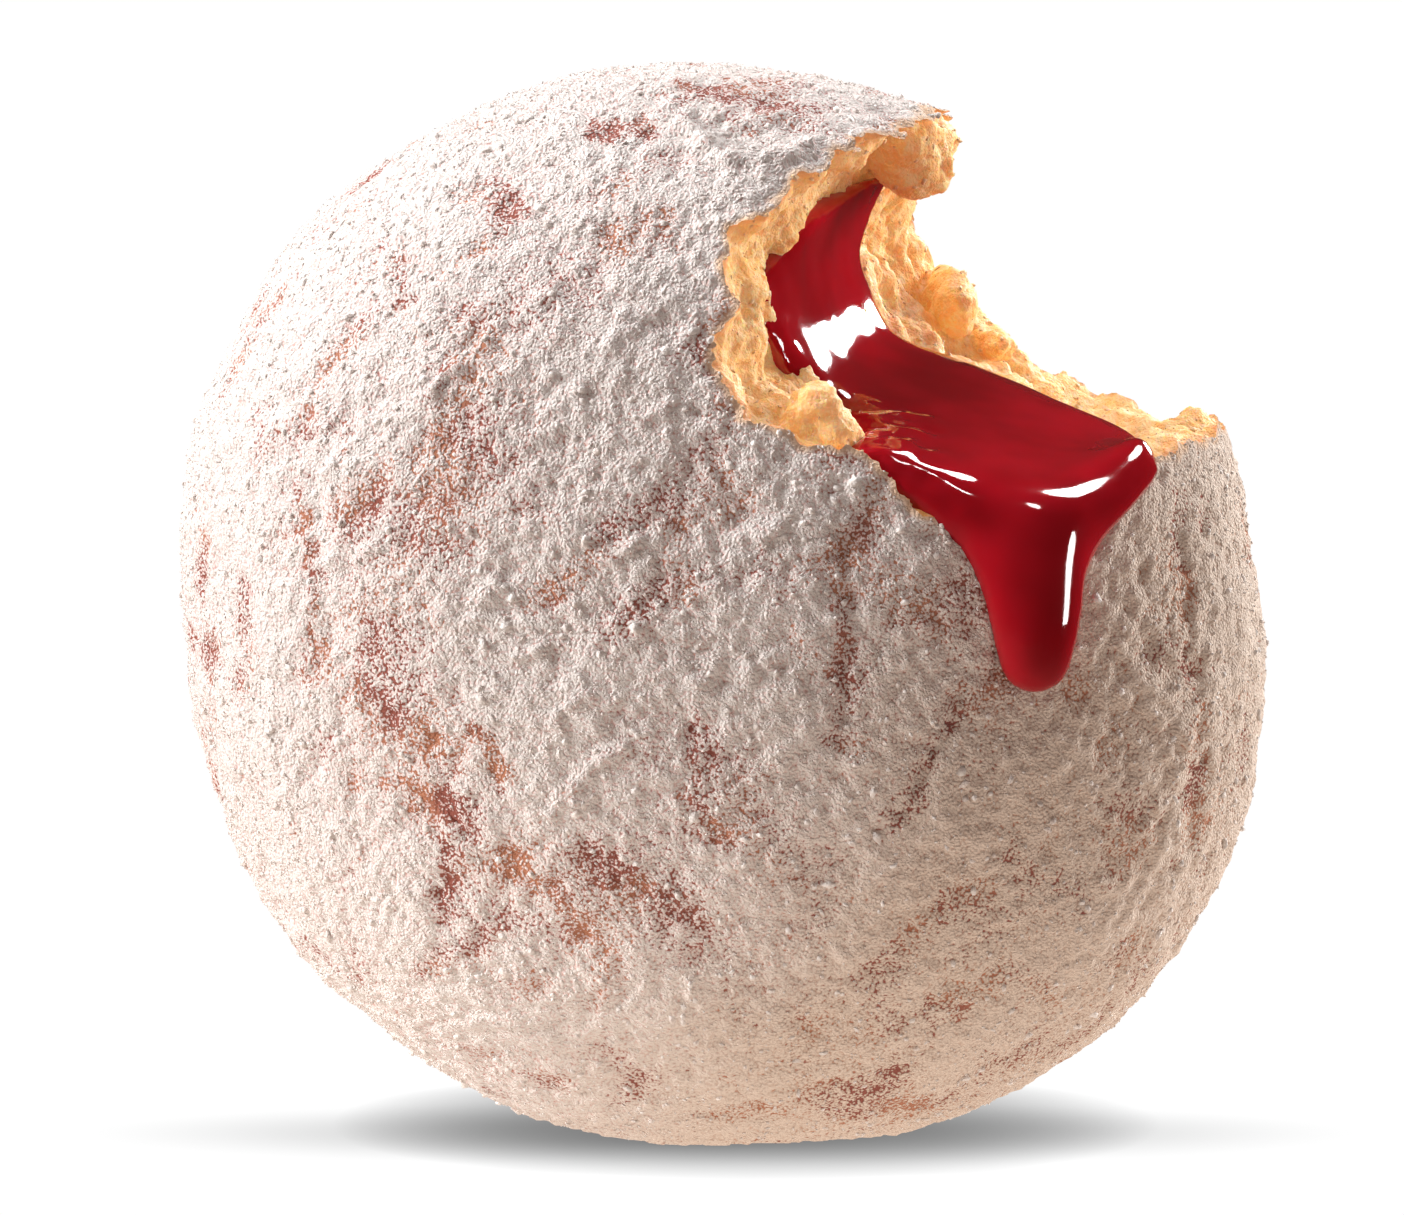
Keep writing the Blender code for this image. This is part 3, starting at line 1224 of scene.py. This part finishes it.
    def build_ball(self) -> Object:
        """The whole ball with the relief of its sugar.

        Returns:
            The ball's object, around its own middle.
        """
        directions, quads = self.unit_cube_grid()
        smooth = directions * (self.ball.skin(directions) - self.inset)[:, None]
        mesh = mesh_from("crust", smooth, quads)
        normals = normals_of(mesh)
        heights = relief(SUGAR_RELIEF, smooth) - self.worn_depth * self.worn_share(smooth)
        front = frayed(smooth, 0.5 * MM, 1.6 * MM)
        for mark in FOLDS + RIDGES:
            heights += mark.reach(front)
        moved = smooth + normals * heights[:, None]
        moved[:, 2] = np.maximum(moved[:, 2], self.floor_height)
        move_to(mesh, moved)
        return show("crust", mesh)

    def build_bite(self) -> Object:
        """The bite's closed shape, with the torn crumb's relief on its skin.

        The lumps of crumb that stand up at the bite's edge are carved out of it, so they stay on the dough.

        Returns:
            Its object, around the ball's middle.
        """
        bite = self.bite.cones()
        voxel_remesh(bite, self.bite_grain)
        smooth = places_of(bite.data)
        crags = bpy.data.textures.new("crags", "CLOUDS")
        crags.noise_scale = self.crag_length
        crags.noise_depth = 1
        torn = bite.modifiers.new("torn", "DISPLACE")
        torn.texture = crags
        torn.texture_coords = "LOCAL"
        torn.strength = self.crag_height
        settle(bite)
        under_jam = near_way(self.jam_way, smooth, *self.jam_reach)
        at_lip = near_way(self.lip_way, smooth, *self.lip_reach)
        at_ridge = near_way(self.ridge_way, smooth, *self.ridge_reach)
        calm = np.maximum(self.jam_calm * under_jam, self.lip_calm * at_lip)[:, None]
        places = places_of(bite.data) * (1.0 - calm) + smooth * calm
        places[:, 2] -= np.maximum(self.lip_drop * at_lip, self.ridge_drop * at_ridge)
        move_to(bite.data, places)
        chunks = lumps("chunks", list(self.chunks))
        voxel_remesh(chunks, self.bite_grain)
        carve(bite, chunks)
        voxel_remesh(bite, self.bite_grain)
        soften(bite, self.tear_smoothing)
        places = places_of(bite.data)
        heights = relief(self.tear_relief, places)
        move_to(bite.data, places - normals_of(bite.data) * heights[:, None])
        return bite

    def build(self) -> None:
        """Cuts the bite out of the ball and keeps the crust's two halves and the crumb."""
        whole = self.build_ball()
        bite = self.build_bite()
        slots = [bpy.data.materials.new(name) for name in ("outside", "inside")]
        for obj, slot in ((whole, 0), (bite, 1)):
            obj.data.materials.clear()
            for material in slots:
                obj.data.materials.append(material)
            obj.data.polygons.foreach_set("material_index", [slot] * len(obj.data.polygons))
        carve(whole, bite)
        places = places_of(whole.data)
        triangles, sides = triangles_of(whole.data)
        behind = places[triangles, 1].mean(axis=1) > 0.0
        kept = {
            "crust_front": triangles[(sides == 0) & ~behind],
            "crust_back": triangles[(sides == 0) & behind],
            "crumb": triangles[sides == 1],
        }
        for name, faces in kept.items():
            self.pieces[name] = show(name, part_of(name, places, faces))
        bpy.data.objects.remove(whole)
        for material in slots:
            bpy.data.materials.remove(material)

    def dress(self) -> None:
        """Works out where each finish lies, gives the pieces their materials and puts them in place."""
        crumb = self.pieces["crumb"].data
        inside = places_of(crumb)
        depth = self.ball.depth(inside)
        set_value(crumb, "toast", 1.0 - soft_step(depth, *self.toast_span))
        # The crumb emits orange as painted light, most where its wall to the skin is narrow.
        thin_wall = np.exp(-np.maximum(depth, 0.0) / self.painted_glow_depth)
        set_value(crumb, "painted_glow", self.painted_glow_least + self.painted_glow_thinner_wall * thin_wall)
        # Golden orange in the recessed pores is painted shade.
        pores = relief(self.tear_relief[:2], inside)
        set_value(crumb, "pore_shade", soft_step(-pores, *self.pore_shade_span))
        edge = kdtree.KDTree(len(inside))
        for number, place in enumerate(inside):
            edge.insert(place, number)
        edge.balance()
        for name in ("crust_front", "crust_back"):
            mesh = self.pieces[name].data
            places = places_of(mesh)
            set_value(mesh, "bare", self.worn_share(places))
            # The sugar darkens towards the lower right, partly as thinner sugar and partly as painted shade,
            # and in the relief's hollows partly as wear and partly as painted shade.
            set_value(mesh, "thin_and_shade", self.thin_and_shade_share(places))
            sunken = -relief(SUGAR_RELIEF, places)
            set_value(mesh, "hollow", soft_step(sunken, *self.hollow_shade_span))
            near = np.full(len(places), 1.0)
            for number in np.flatnonzero((places[:, 0] > -4.0 * MM) & (places[:, 2] > 4.0 * MM)):
                near[number] = edge.find(places[number])[2]
            uneven = 0.35 * MM * SolidNoise(34).smooth(places, 1.5 * MM)
            set_value(mesh, "rim", 1.0 - soft_step(near + uneven, *self.rim_span))
        sugar = SugarFinish().make()
        finishes = {"crust_front": sugar, "crust_back": sugar, "crumb": CrumbFinish().make()}
        for name, piece in self.pieces.items():
            piece.data.materials.append(finishes[name])
            place_piece(piece)
            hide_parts("dough")


def place_piece(piece: Object) -> None:
    """Moves a piece from around the ball's middle to its place, and lets it ride on the doughnut.

    Args:
        piece: the piece.
    """
    piece.data.transform(Matrix.Translation(MIDDLE))
    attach(piece, "root")
    log.info("%s: %d faces", piece.name, len(piece.data.polygons))


@dataclass
class Jam:
    """The jam: the filling, the sheet up the bite's side, the pool and the drip, as one flowing solid.

    In the bite it lies as a sheet of even thickness, so its surface is hollow like the bite's.
    """

    bite: Bite = field(default_factory=Bite)
    thickness: float = 1.2 * MM
    pool_height: float = 0.0246
    pool_rise_x: float = -0.22
    pool_rise_y: float = 0.28
    hollow_grain: float = 0.80 * MM
    hollow_smoothing: int = 24
    grain: float = 0.45 * MM
    smoothing: int = 30
    inner_smoothing: int = 110
    steps: int = 12
    filling: tuple[Blob, ...] = blobs(
        (-1.0, 0.0, 14.0, 13.0, 12.0, 12.0),
        (6.0, -3.0, 22.0, 7.0, 12.0, 9.0, -18.0),
    )
    curtain: tuple[Blob, ...] = blobs(
        (13.4, 2.5, 33.6, 1.6, 3.4, 1.8, -18.0),
        (8.0, -5.0, 29.8, 2.8, 8.5, 3.8, -18.0),
        (5.4, -9.5, 24.8, 3.8, 12.0, 5.0, -18.0),
        (10.0, -7.0, 18.0, 6.0, 12.0, 4.5, -14.0, 8.0),
    )
    pool: tuple[Blob, ...] = blobs(
        (10.0, -7.0, 18.0, 6.0, 12.0, 4.5, -14.0, 8.0),
        (20.0, -9.0, 13.5, 7.5, 17.0, 4.2, -6.0, 9.0),
        (29.4, -11.8, 10.2, 4.9, 10.5, 5.2, 0.0, 9.0),
    )
    spill: tuple[Blob, ...] = blobs(
        (21.5, -19.0, 11.5, 8.5, 8.0, 4.0, 0.0, 16.0),
        (22.5, -28.0, 8.5, 6.6, 4.0, 3.6, 12.0, 40.0),
        (23.1, -30.0, 5.0, 4.4, 2.6, 3.6, 14.0),
        (23.4, -30.2, 1.0, 3.7, 2.4, 3.0, 14.0),
        (23.4, -30.0, -1.8, 3.0, 2.2, 2.9, 14.0),
    )
    apron: tuple[Blob, ...] = blobs(
        (11.8, -19.0, 15.2, 3.6, 6.0, 3.4, 0.0, 9.0),
        (14.5, -22.8, 13.2, 4.0, 6.0, 3.4, 0.0, 14.0),
        (19.0, -23.6, 11.2, 4.4, 6.0, 3.6, 0.0, 16.0),
        (23.0, -24.0, 10.0, 4.6, 6.0, 3.6, 0.0, 16.0),
    )
    left_lip: tuple[Blob, ...] = blobs(
        (10.8, -28.0, 14.7, 1.7, 3.0, 1.5, 0.0, 20.0),
        (12.7, -28.8, 12.9, 2.1, 2.8, 1.9, 0.0, 25.0),
        (15.1, -29.2, 11.2, 2.4, 2.5, 2.2, 0.0, 30.0),
        (17.8, -29.5, 8.9, 2.9, 2.4, 2.7, 0.0, 35.0),
        (21.8, -29.2, 6.6, 3.4, 2.5, 3.2, 0.0, 35.0),
    )
    right_lip: tuple[Blob, ...] = blobs(
        (31.4, -20.5, 12.8, 2.2, 4.0, 2.4, 0.0, 22.0),
        (29.4, -24.6, 10.6, 2.3, 2.6, 2.1, 0.0, 30.0),
        (26.8, -26.8, 8.6, 2.6, 2.6, 2.6, 0.0, 35.0),
        (24.5, -28.4, 6.2, 3.4, 2.6, 3.2, 0.0, 35.0),
    )
    streaks: Layer = Layer(Kind.HUMPS, 0.09 * MM, 2.9 * MM, 44, 2.0, math.radians(95.0))
    ragged: Layer = Layer(Kind.HUMPS, 0.26 * MM, 1.9 * MM, 43)
    inner_span: Span = (9.0 * MM, 12.0 * MM)
    sheet_span: Span = (18.5 * MM, 22.0 * MM)
    ragged_front: Span = (15.0 * MM, 20.0 * MM)
    ragged_left: Span = (-18.0 * MM, -15.0 * MM)
    piece: Object | None = None

    def build(self) -> None:
        """Strings lumps along the jam's way and lets them flow together."""
        lips = (self.left_lip, self.right_lip)
        strung = []
        for run in (self.filling, self.curtain, self.pool, self.apron, self.spill, *lips):
            for first, second in zip(run, run[1:]):
                strung += [first.towards(second, step / self.steps) for step in range(self.steps + 1)]
        self.piece = lumps("jam_flow", strung)
        voxel_remesh(self.piece, self.grain)
        carve(self.piece, self.hollow())
        voxel_remesh(self.piece, self.grain)
        soften(self.piece, self.smoothing)
        mesh = self.piece.data
        height, up = places_of(mesh)[:, 2], normals_of(mesh)[:, 2]
        inner = soft_step(height, *self.inner_span) * soft_step(up, -0.2, 0.2)
        soften(self.piece, self.inner_smoothing, inner)
        mesh = self.piece.data
        places = places_of(mesh)
        right, back, height = places.T
        sheet = soft_step(height, *self.sheet_span)
        left_edge = soft_step(-back, *self.ragged_front) * soft_step(-right, *self.ragged_left)
        heights = self.streaks.heights(places) * sheet + self.ragged.heights(places) * left_edge
        move_to(mesh, places + normals_of(mesh) * heights[:, None])
        mesh.shade_smooth()

    def hollow(self) -> Object:
        """The room that the jam leaves free in the bite, down to its surface.

        Returns:
            The room's object, around the ball's middle.
        """
        hollow = self.bite.cones(self.thickness)
        voxel_remesh(hollow, self.grain)
        carve(hollow, self.below_pool())
        voxel_remesh(hollow, self.hollow_grain)
        soften(hollow, self.hollow_smoothing)
        return hollow

    def below_pool(self) -> Object:
        """A block under the plane of the pool's surface.

        Returns:
            The block's object, around the ball's middle.
        """
        half = 0.06
        across, along = (side.ravel() for side in np.meshgrid((-half, half), (-half, half)))
        top = self.pool_height + self.pool_rise_x * across + self.pool_rise_y * along
        levels = [np.stack((across, along, height), axis=1) for height in (top - half, top)]
        flat = ((0, 2, 3, 1), (4, 5, 7, 6))
        upright = ((0, 1, 5, 4), (1, 3, 7, 5), (3, 2, 6, 7), (2, 0, 4, 6))
        return show("below_pool", mesh_from("below_pool", np.concatenate(levels), np.array(flat + upright)))

    def dress(self) -> None:
        """Gives the jam its finish and puts it in place."""
        self.piece.data.materials.clear()
        self.piece.data.materials.append(JamFinish().make())
        place_piece(self.piece)
        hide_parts("jam")


class BitShape(Enum):
    """How a loose bit is faceted: as a grain of eight facets, or as a ball that is cut once."""

    GRAIN = 0
    PEBBLE = 1

    def facets(self) -> tuple[np.ndarray, np.ndarray]:
        """The bit's plain shape.

        Returns:
            Its corners on a sphere of radius 1, and its triangles.
        """
        if self is BitShape.PEBBLE:
            return round_ball(1)
        corners = np.concatenate((np.eye(3), -np.eye(3)))
        top = [(0, 1, 2), (1, 3, 2), (3, 4, 2), (4, 0, 2)]
        return corners, np.array(top + [(b, a, 5) for a, b, _ in top])


@dataclass(frozen=True)
class Bits:
    """Loose bits of one kind that lie scattered on a surface."""

    name: str
    shape: BitShape
    count: int
    smallest: float
    largest: float
    seed: int
    flatness: float = 0.7
    sunk: float = 0.25
    uneven: float = 0.25
    small_power: float = 1.8
    stretch: float = 0.25
    least_stretch: float = 0.45
    most_stretch: float = 1.6
    tilt: float = 0.35

    def scatter(self, meshes: list[Mesh], weights: list[np.ndarray]) -> Object:
        """Strews the bits over surfaces.

        Args:
            meshes: the surfaces, around the ball's middle.
            weights: for each surface, how thickly the bits lie at each vertex.

        Returns:
            One object that holds all the bits.
        """
        draw = np.random.default_rng(self.seed)
        spots, ups = self.draw_spots(draw, meshes, weights)
        corners, faces = self.shape.facets()
        growth = draw.random(self.count) ** self.small_power
        size = self.smallest * (self.largest / self.smallest) ** growth
        turned = self.draw_turns(draw, ups)
        local = corners[None] * (1.0 + self.uneven * draw.normal(size=(self.count, len(corners), 1)))
        stretch = 1.0 + self.stretch * draw.normal(size=(self.count, 1, 3))
        stretch[:, :, 2] *= self.flatness
        local = local * np.clip(stretch, self.least_stretch, self.most_stretch) * (size / 2.0)[:, None, None]
        placed = np.einsum("nij,nkj->nki", turned, local)
        lift = (size / 2.0) * self.flatness * (1.0 - 2.0 * self.sunk)
        placed += (spots + ups * lift[:, None])[:, None]
        all_faces = faces[None] + (np.arange(self.count) * len(corners))[:, None, None]
        return show(self.name, mesh_from(self.name, placed.reshape(-1, 3), all_faces.reshape(-1, 3)))

    def draw_spots(
        self, draw: np.random.Generator, meshes: list[Mesh], weights: list[np.ndarray]
    ) -> tuple[np.ndarray, np.ndarray]:
        """Draws a place on the surfaces for each bit.

        Args:
            draw: the seeded source of chance.
            meshes: the surfaces.
            weights: how thickly the bits lie at each vertex.

        Returns:
            The places, and the surface's direction up at each.
        """
        corners, shares = [], []
        for mesh, weight in zip(meshes, weights):
            triangles, _ = triangles_of(mesh)
            places = places_of(mesh)[triangles]
            start, one, two = (places[:, corner] for corner in range(3))
            area = np.linalg.norm(np.cross(one - start, two - start), axis=1)
            corners.append(places)
            shares.append(area * weight[triangles].mean(axis=1))
        places = np.concatenate(corners)
        share = np.concatenate(shares)
        picked = draw.choice(len(places), self.count, p=share / share.sum())
        first, second = draw.random((2, self.count))
        fold = first + second > 1.0
        first[fold], second[fold] = 1.0 - first[fold], 1.0 - second[fold]
        start, one, two = (places[picked, corner] for corner in range(3))
        up = np.cross(one - start, two - start)
        up /= np.linalg.norm(up, axis=1, keepdims=True)
        return start + (one - start) * first[:, None] + (two - start) * second[:, None], up

    def draw_turns(self, draw: np.random.Generator, ups: np.ndarray) -> np.ndarray:
        """Draws how each bit is turned, flat side along the surface.

        Args:
            draw: the seeded source of chance.
            ups: the surface's direction up at each bit.

        Returns:
            A turning matrix for each bit.
        """
        ups = ups + self.tilt * draw.normal(size=ups.shape)
        ups /= np.linalg.norm(ups, axis=1, keepdims=True)
        side = np.cross(ups, draw.normal(size=ups.shape))
        side /= np.linalg.norm(side, axis=1, keepdims=True)
        return np.stack((side, np.cross(ups, side), ups), axis=2)


@dataclass
class Toppings:
    """What lies loose on the doughnut: small clumps and grains of sugar, and crumbs."""

    clumps: Bits = Bits("sugar_clumps", BitShape.PEBBLE, 6500, 0.28 * MM, 0.75 * MM, 52, 0.65, 0.50, 0.24)
    grains: Bits = Bits("sugar_grains", BitShape.GRAIN, 22000, 0.18 * MM, 0.32 * MM, 53, 0.85, 0.32, 0.20)
    crumbs: Bits = Bits("crumbs", BitShape.PEBBLE, 1100, 0.20 * MM, 0.60 * MM, 54, 0.6, 0.40, 0.30)
    loose_crumb: CrumbFinish = CrumbFinish(
        "loose_crumb", (0.95, 0.76, 0.50, 1.0), (0.93, 0.62, 0.33, 1.0), soft=0.0
    )
    sugar_pieces: list[Object] = field(default_factory=list)
    crumb_piece: Object | None = None

    def build(self, dough: Dough) -> None:
        """Strews the bits over the dough.

        Args:
            dough: the dough, still around the ball's middle.
        """
        crusts = [dough.pieces[name].data for name in ("crust_front", "crust_back")]
        crumb = dough.pieces["crumb"].data
        floor = dough.floor_height
        thick, loose = [], []
        for mesh in crusts:
            places = places_of(mesh)
            clear = soft_step(places[:, 2], floor + 0.4 * MM, floor + 1.2 * MM)
            clear = clear * (1.0 - 0.6 * dough.thin_and_shade_share(places))
            thick.append(clear * (1.0 - 0.8 * dough.worn_share(places)))
            loose.append(clear)
        self.sugar_pieces = [self.clumps.scatter(crusts, thick), self.grains.scatter(crusts, loose)]
        inside = soft_step(dough.ball.depth(places_of(crumb)), -0.2 * MM, 0.3 * MM)
        self.crumb_piece = self.crumbs.scatter([crumb], [inside])

    def dress(self) -> None:
        """Gives the bits their finishes and puts them in place."""
        sugar = LooseSugarFinish().make()
        for piece in self.sugar_pieces:
            piece.data.materials.append(sugar)
            place_piece(piece)
        mesh = self.crumb_piece.data
        for name in ("pore_shade", "toast", "painted_glow"):
            set_value(mesh, name, np.zeros(len(mesh.vertices)))
        mesh.materials.append(self.loose_crumb.make())
        place_piece(self.crumb_piece)


# The studio


class Shine(Enum):
    """What a lamp does: light things softly, or show as a highlight in wet ones."""

    LIGHT = "light"
    HIGHLIGHT = "highlight"


@dataclass(frozen=True)
class Lamp:
    """A soft lamp: where it hangs, seen from the doughnut, with its size, power and colour."""

    name: str
    place: tuple[float, float, float]
    width: float
    height: float
    power: float
    colour: tuple[float, float, float] = (1.0, 1.0, 1.0)
    shine: Shine = Shine.LIGHT

    def hang(self) -> None:
        """Hangs the lamp, facing the doughnut."""
        data = bpy.data.lights.new(self.name, "AREA")
        data.shape = "RECTANGLE" if self.shine is Shine.LIGHT else "ELLIPSE"
        data.size, data.size_y = self.width, self.height
        data.energy = self.power
        data.color = self.colour
        lamp = show(self.name, data)
        lamp.location = Vector(MIDDLE) + Vector(self.place)
        lamp.rotation_euler = (-Vector(self.place)).to_track_quat("-Z", "Y").to_euler()
        lamp.visible_camera = False
        lamp.visible_diffuse = self.shine is Shine.LIGHT
        lamp.visible_glossy = self.shine is Shine.HIGHLIGHT


@dataclass
class Studio:
    """A plain pale floor in soft light, and the camera at the photograph's viewing angle."""

    camera_distance: float = 0.472
    camera_tilt: float = math.radians(4.0)
    lens: float = 150.0
    aim_right: float = -0.00178
    aim_up: float = -0.00012
    floor_side: float = 8.0
    fill: Colour = (0.215, 0.160, 0.138, 1.0)
    bounce_near: Colour = (1.14, 0.94, 0.80, 1.0)
    bounce_far: Colour = (0.23, 0.175, 0.152, 1.0)
    gloss_share: float = 0.15
    white: Colour = (1.0, 1.0, 1.0, 1.0)
    white_strength: float = 1.02
    touch_reach: float = 0.009
    touch_dark: float = 0.38
    shadow_right: float = 0.056
    shadow_back: float = 0.018
    shadow_shift: float = 0.3
    shadow_dark: float = 0.58
    bounce_span: Span = (0.05, 0.18)
    lamps: tuple[Lamp, ...] = (
        Lamp("key", (-0.60, -0.15, 0.23), 0.26, 0.26, 5.2, (1.0, 0.965, 0.94)),
        Lamp("rim", (0.54, 0.27, 0.17), 0.10, 0.34, 4.4, (1.0, 0.97, 0.94)),
        Lamp("back", (0.30, 0.58, 0.26), 0.20, 0.14, 1.4, (1.0, 0.95, 0.88)),
        Lamp("top", (-0.12, 0.06, 0.62), 0.30, 0.22, 2.6),
        Lamp("shine_bend", (0.345, 0.56, 0.235), 0.22, 0.15, 2.6, shine=Shine.HIGHLIGHT),
        Lamp("shine_left", (-0.37, -0.20, 0.37), 0.11, 0.11, 0.8, shine=Shine.HIGHLIGHT),
        Lamp("shine_right", (0.275, 0.22, 0.48), 0.21, 0.22, 2.5, shine=Shine.HIGHLIGHT),
        Lamp("shine_spill", (0.21, -0.20, 0.50), 0.06, 0.12, 0.5, shine=Shine.HIGHLIGHT),
        Lamp("shine_drip", (0.24, -0.10, -0.01), 0.05, 0.16, 0.5, shine=Shine.HIGHLIGHT),
    )

    def build(self) -> None:
        """Sets up the floor, the light and the camera."""
        self.lay_floor()
        self.light_world()
        for lamp in self.lamps:
            lamp.hang()
        self.stand_camera()
        bpy.context.scene.view_settings.view_transform = "Standard"

    def lay_floor(self) -> None:
        """A wide floor, white and softly shaded where the doughnut stands."""
        half = self.floor_side / 2.0
        corners = np.array(((-half, -half, 0.0), (half, -half, 0.0), (half, half, 0.0), (-half, half, 0.0)))
        floor = show("floor", mesh_from("floor", corners, np.array(((0, 1, 2, 3),))))
        material, graph, shader = new_material("floor")
        touch = graph.add("ShaderNodeAmbientOcclusion", samples=16)
        graph.feed(touch, {"Distance": self.touch_reach})
        touched = graph.math("MULTIPLY_ADD", touch.outputs["AO"], 1.0 - self.touch_dark, self.touch_dark)
        oval = graph.add("ShaderNodeVectorMath", operation="MULTIPLY_ADD")
        squeeze = (1.0 / self.shadow_right, 1.0 / self.shadow_back, 0.0)
        graph.feed(oval, {0: graph.place(), 1: squeeze, 2: (0.0, self.shadow_shift, 0.0)})
        shadow = graph.ramp(graph.length(oval.outputs["Vector"]), 0.2, 1.0, self.shadow_dark, 1.0)
        bright = tuple(self.white_strength * part for part in self.white[:3])
        shade = graph.math("MULTIPLY", touched, shadow)
        seen = graph.mix(shade, (0.0, 0.0, 0.0, 1.0), (*bright, 1.0))
        away = graph.ramp(graph.length(graph.place()), *self.bounce_span)
        bounce = graph.mix(away, self.bounce_near, self.bounce_far)
        by_camera, strength = self.tell_rays(graph)
        graph.feed(shader, {
            "Base Color": (0.0, 0.0, 0.0, 1.0),
            "Roughness": 1.0,
            "Specular IOR Level": 0.0,
            "Emission Color": graph.mix(by_camera, bounce, seen),
            "Emission Strength": strength,
        })
        floor.data.materials.append(material)

    def tell_rays(self, graph: Graph) -> tuple[NodeSocket, NodeSocket]:
        """Tells the camera's rays from others, and dims what glossy things mirror.

        Args:
            graph: the graph of the floor or the world.

        Returns:
            1 for the camera's rays, and the strength of the light.
        """
        rays = graph.add("ShaderNodeLightPath").outputs
        strength = graph.math("MULTIPLY_ADD", rays["Is Glossy Ray"], self.gloss_share - 1.0, 1.0)
        return rays["Is Camera Ray"], strength

    def light_world(self) -> None:
        """White behind the doughnut, and a warm, dimmer light from all round."""
        world = bpy.data.worlds.new("studio")
        world.use_nodes = True
        bpy.context.scene.world = world
        graph = Graph(world.node_tree)
        fill = world.node_tree.nodes["Background"]
        by_camera, strength = self.tell_rays(graph)
        graph.feed(fill, {"Color": self.fill, "Strength": strength})
        white = graph.add("ShaderNodeBackground")
        graph.feed(white, {"Color": self.white, "Strength": self.white_strength})
        pick = graph.add("ShaderNodeMixShader")
        graph.feed(pick, {0: by_camera, 1: fill.outputs[0], 2: white.outputs[0]})
        graph.feed(world.node_tree.nodes["World Output"], {"Surface": pick.outputs[0]})

    def stand_camera(self) -> None:
        """Stands the camera in front, a little above the middle, and aims it."""
        data = bpy.data.cameras.new("camera")
        data.lens = self.lens
        data.clip_start = 0.01
        data.clip_end = 20.0
        camera = show("camera", data)
        turn = Euler((math.pi / 2.0 - self.camera_tilt, 0.0, 0.0))
        seat = Vector((self.aim_right, self.aim_up, self.camera_distance))
        camera.location = Vector(MIDDLE) + turn.to_matrix() @ seat
        camera.rotation_euler = turn
        bpy.context.scene.camera = camera


def main() -> None:
    """Builds the doughnut's pieces in order, then the studio."""
    logging.basicConfig(level=logging.INFO, format="%(name)s: %(message)s")
    dough = Dough()
    dough.build()
    jam = Jam()
    jam.build()
    toppings = Toppings()
    toppings.build(dough)
    dough.dress()
    toppings.dress()
    jam.dress()
    Studio().build()


if __name__ == "__main__":
    main()
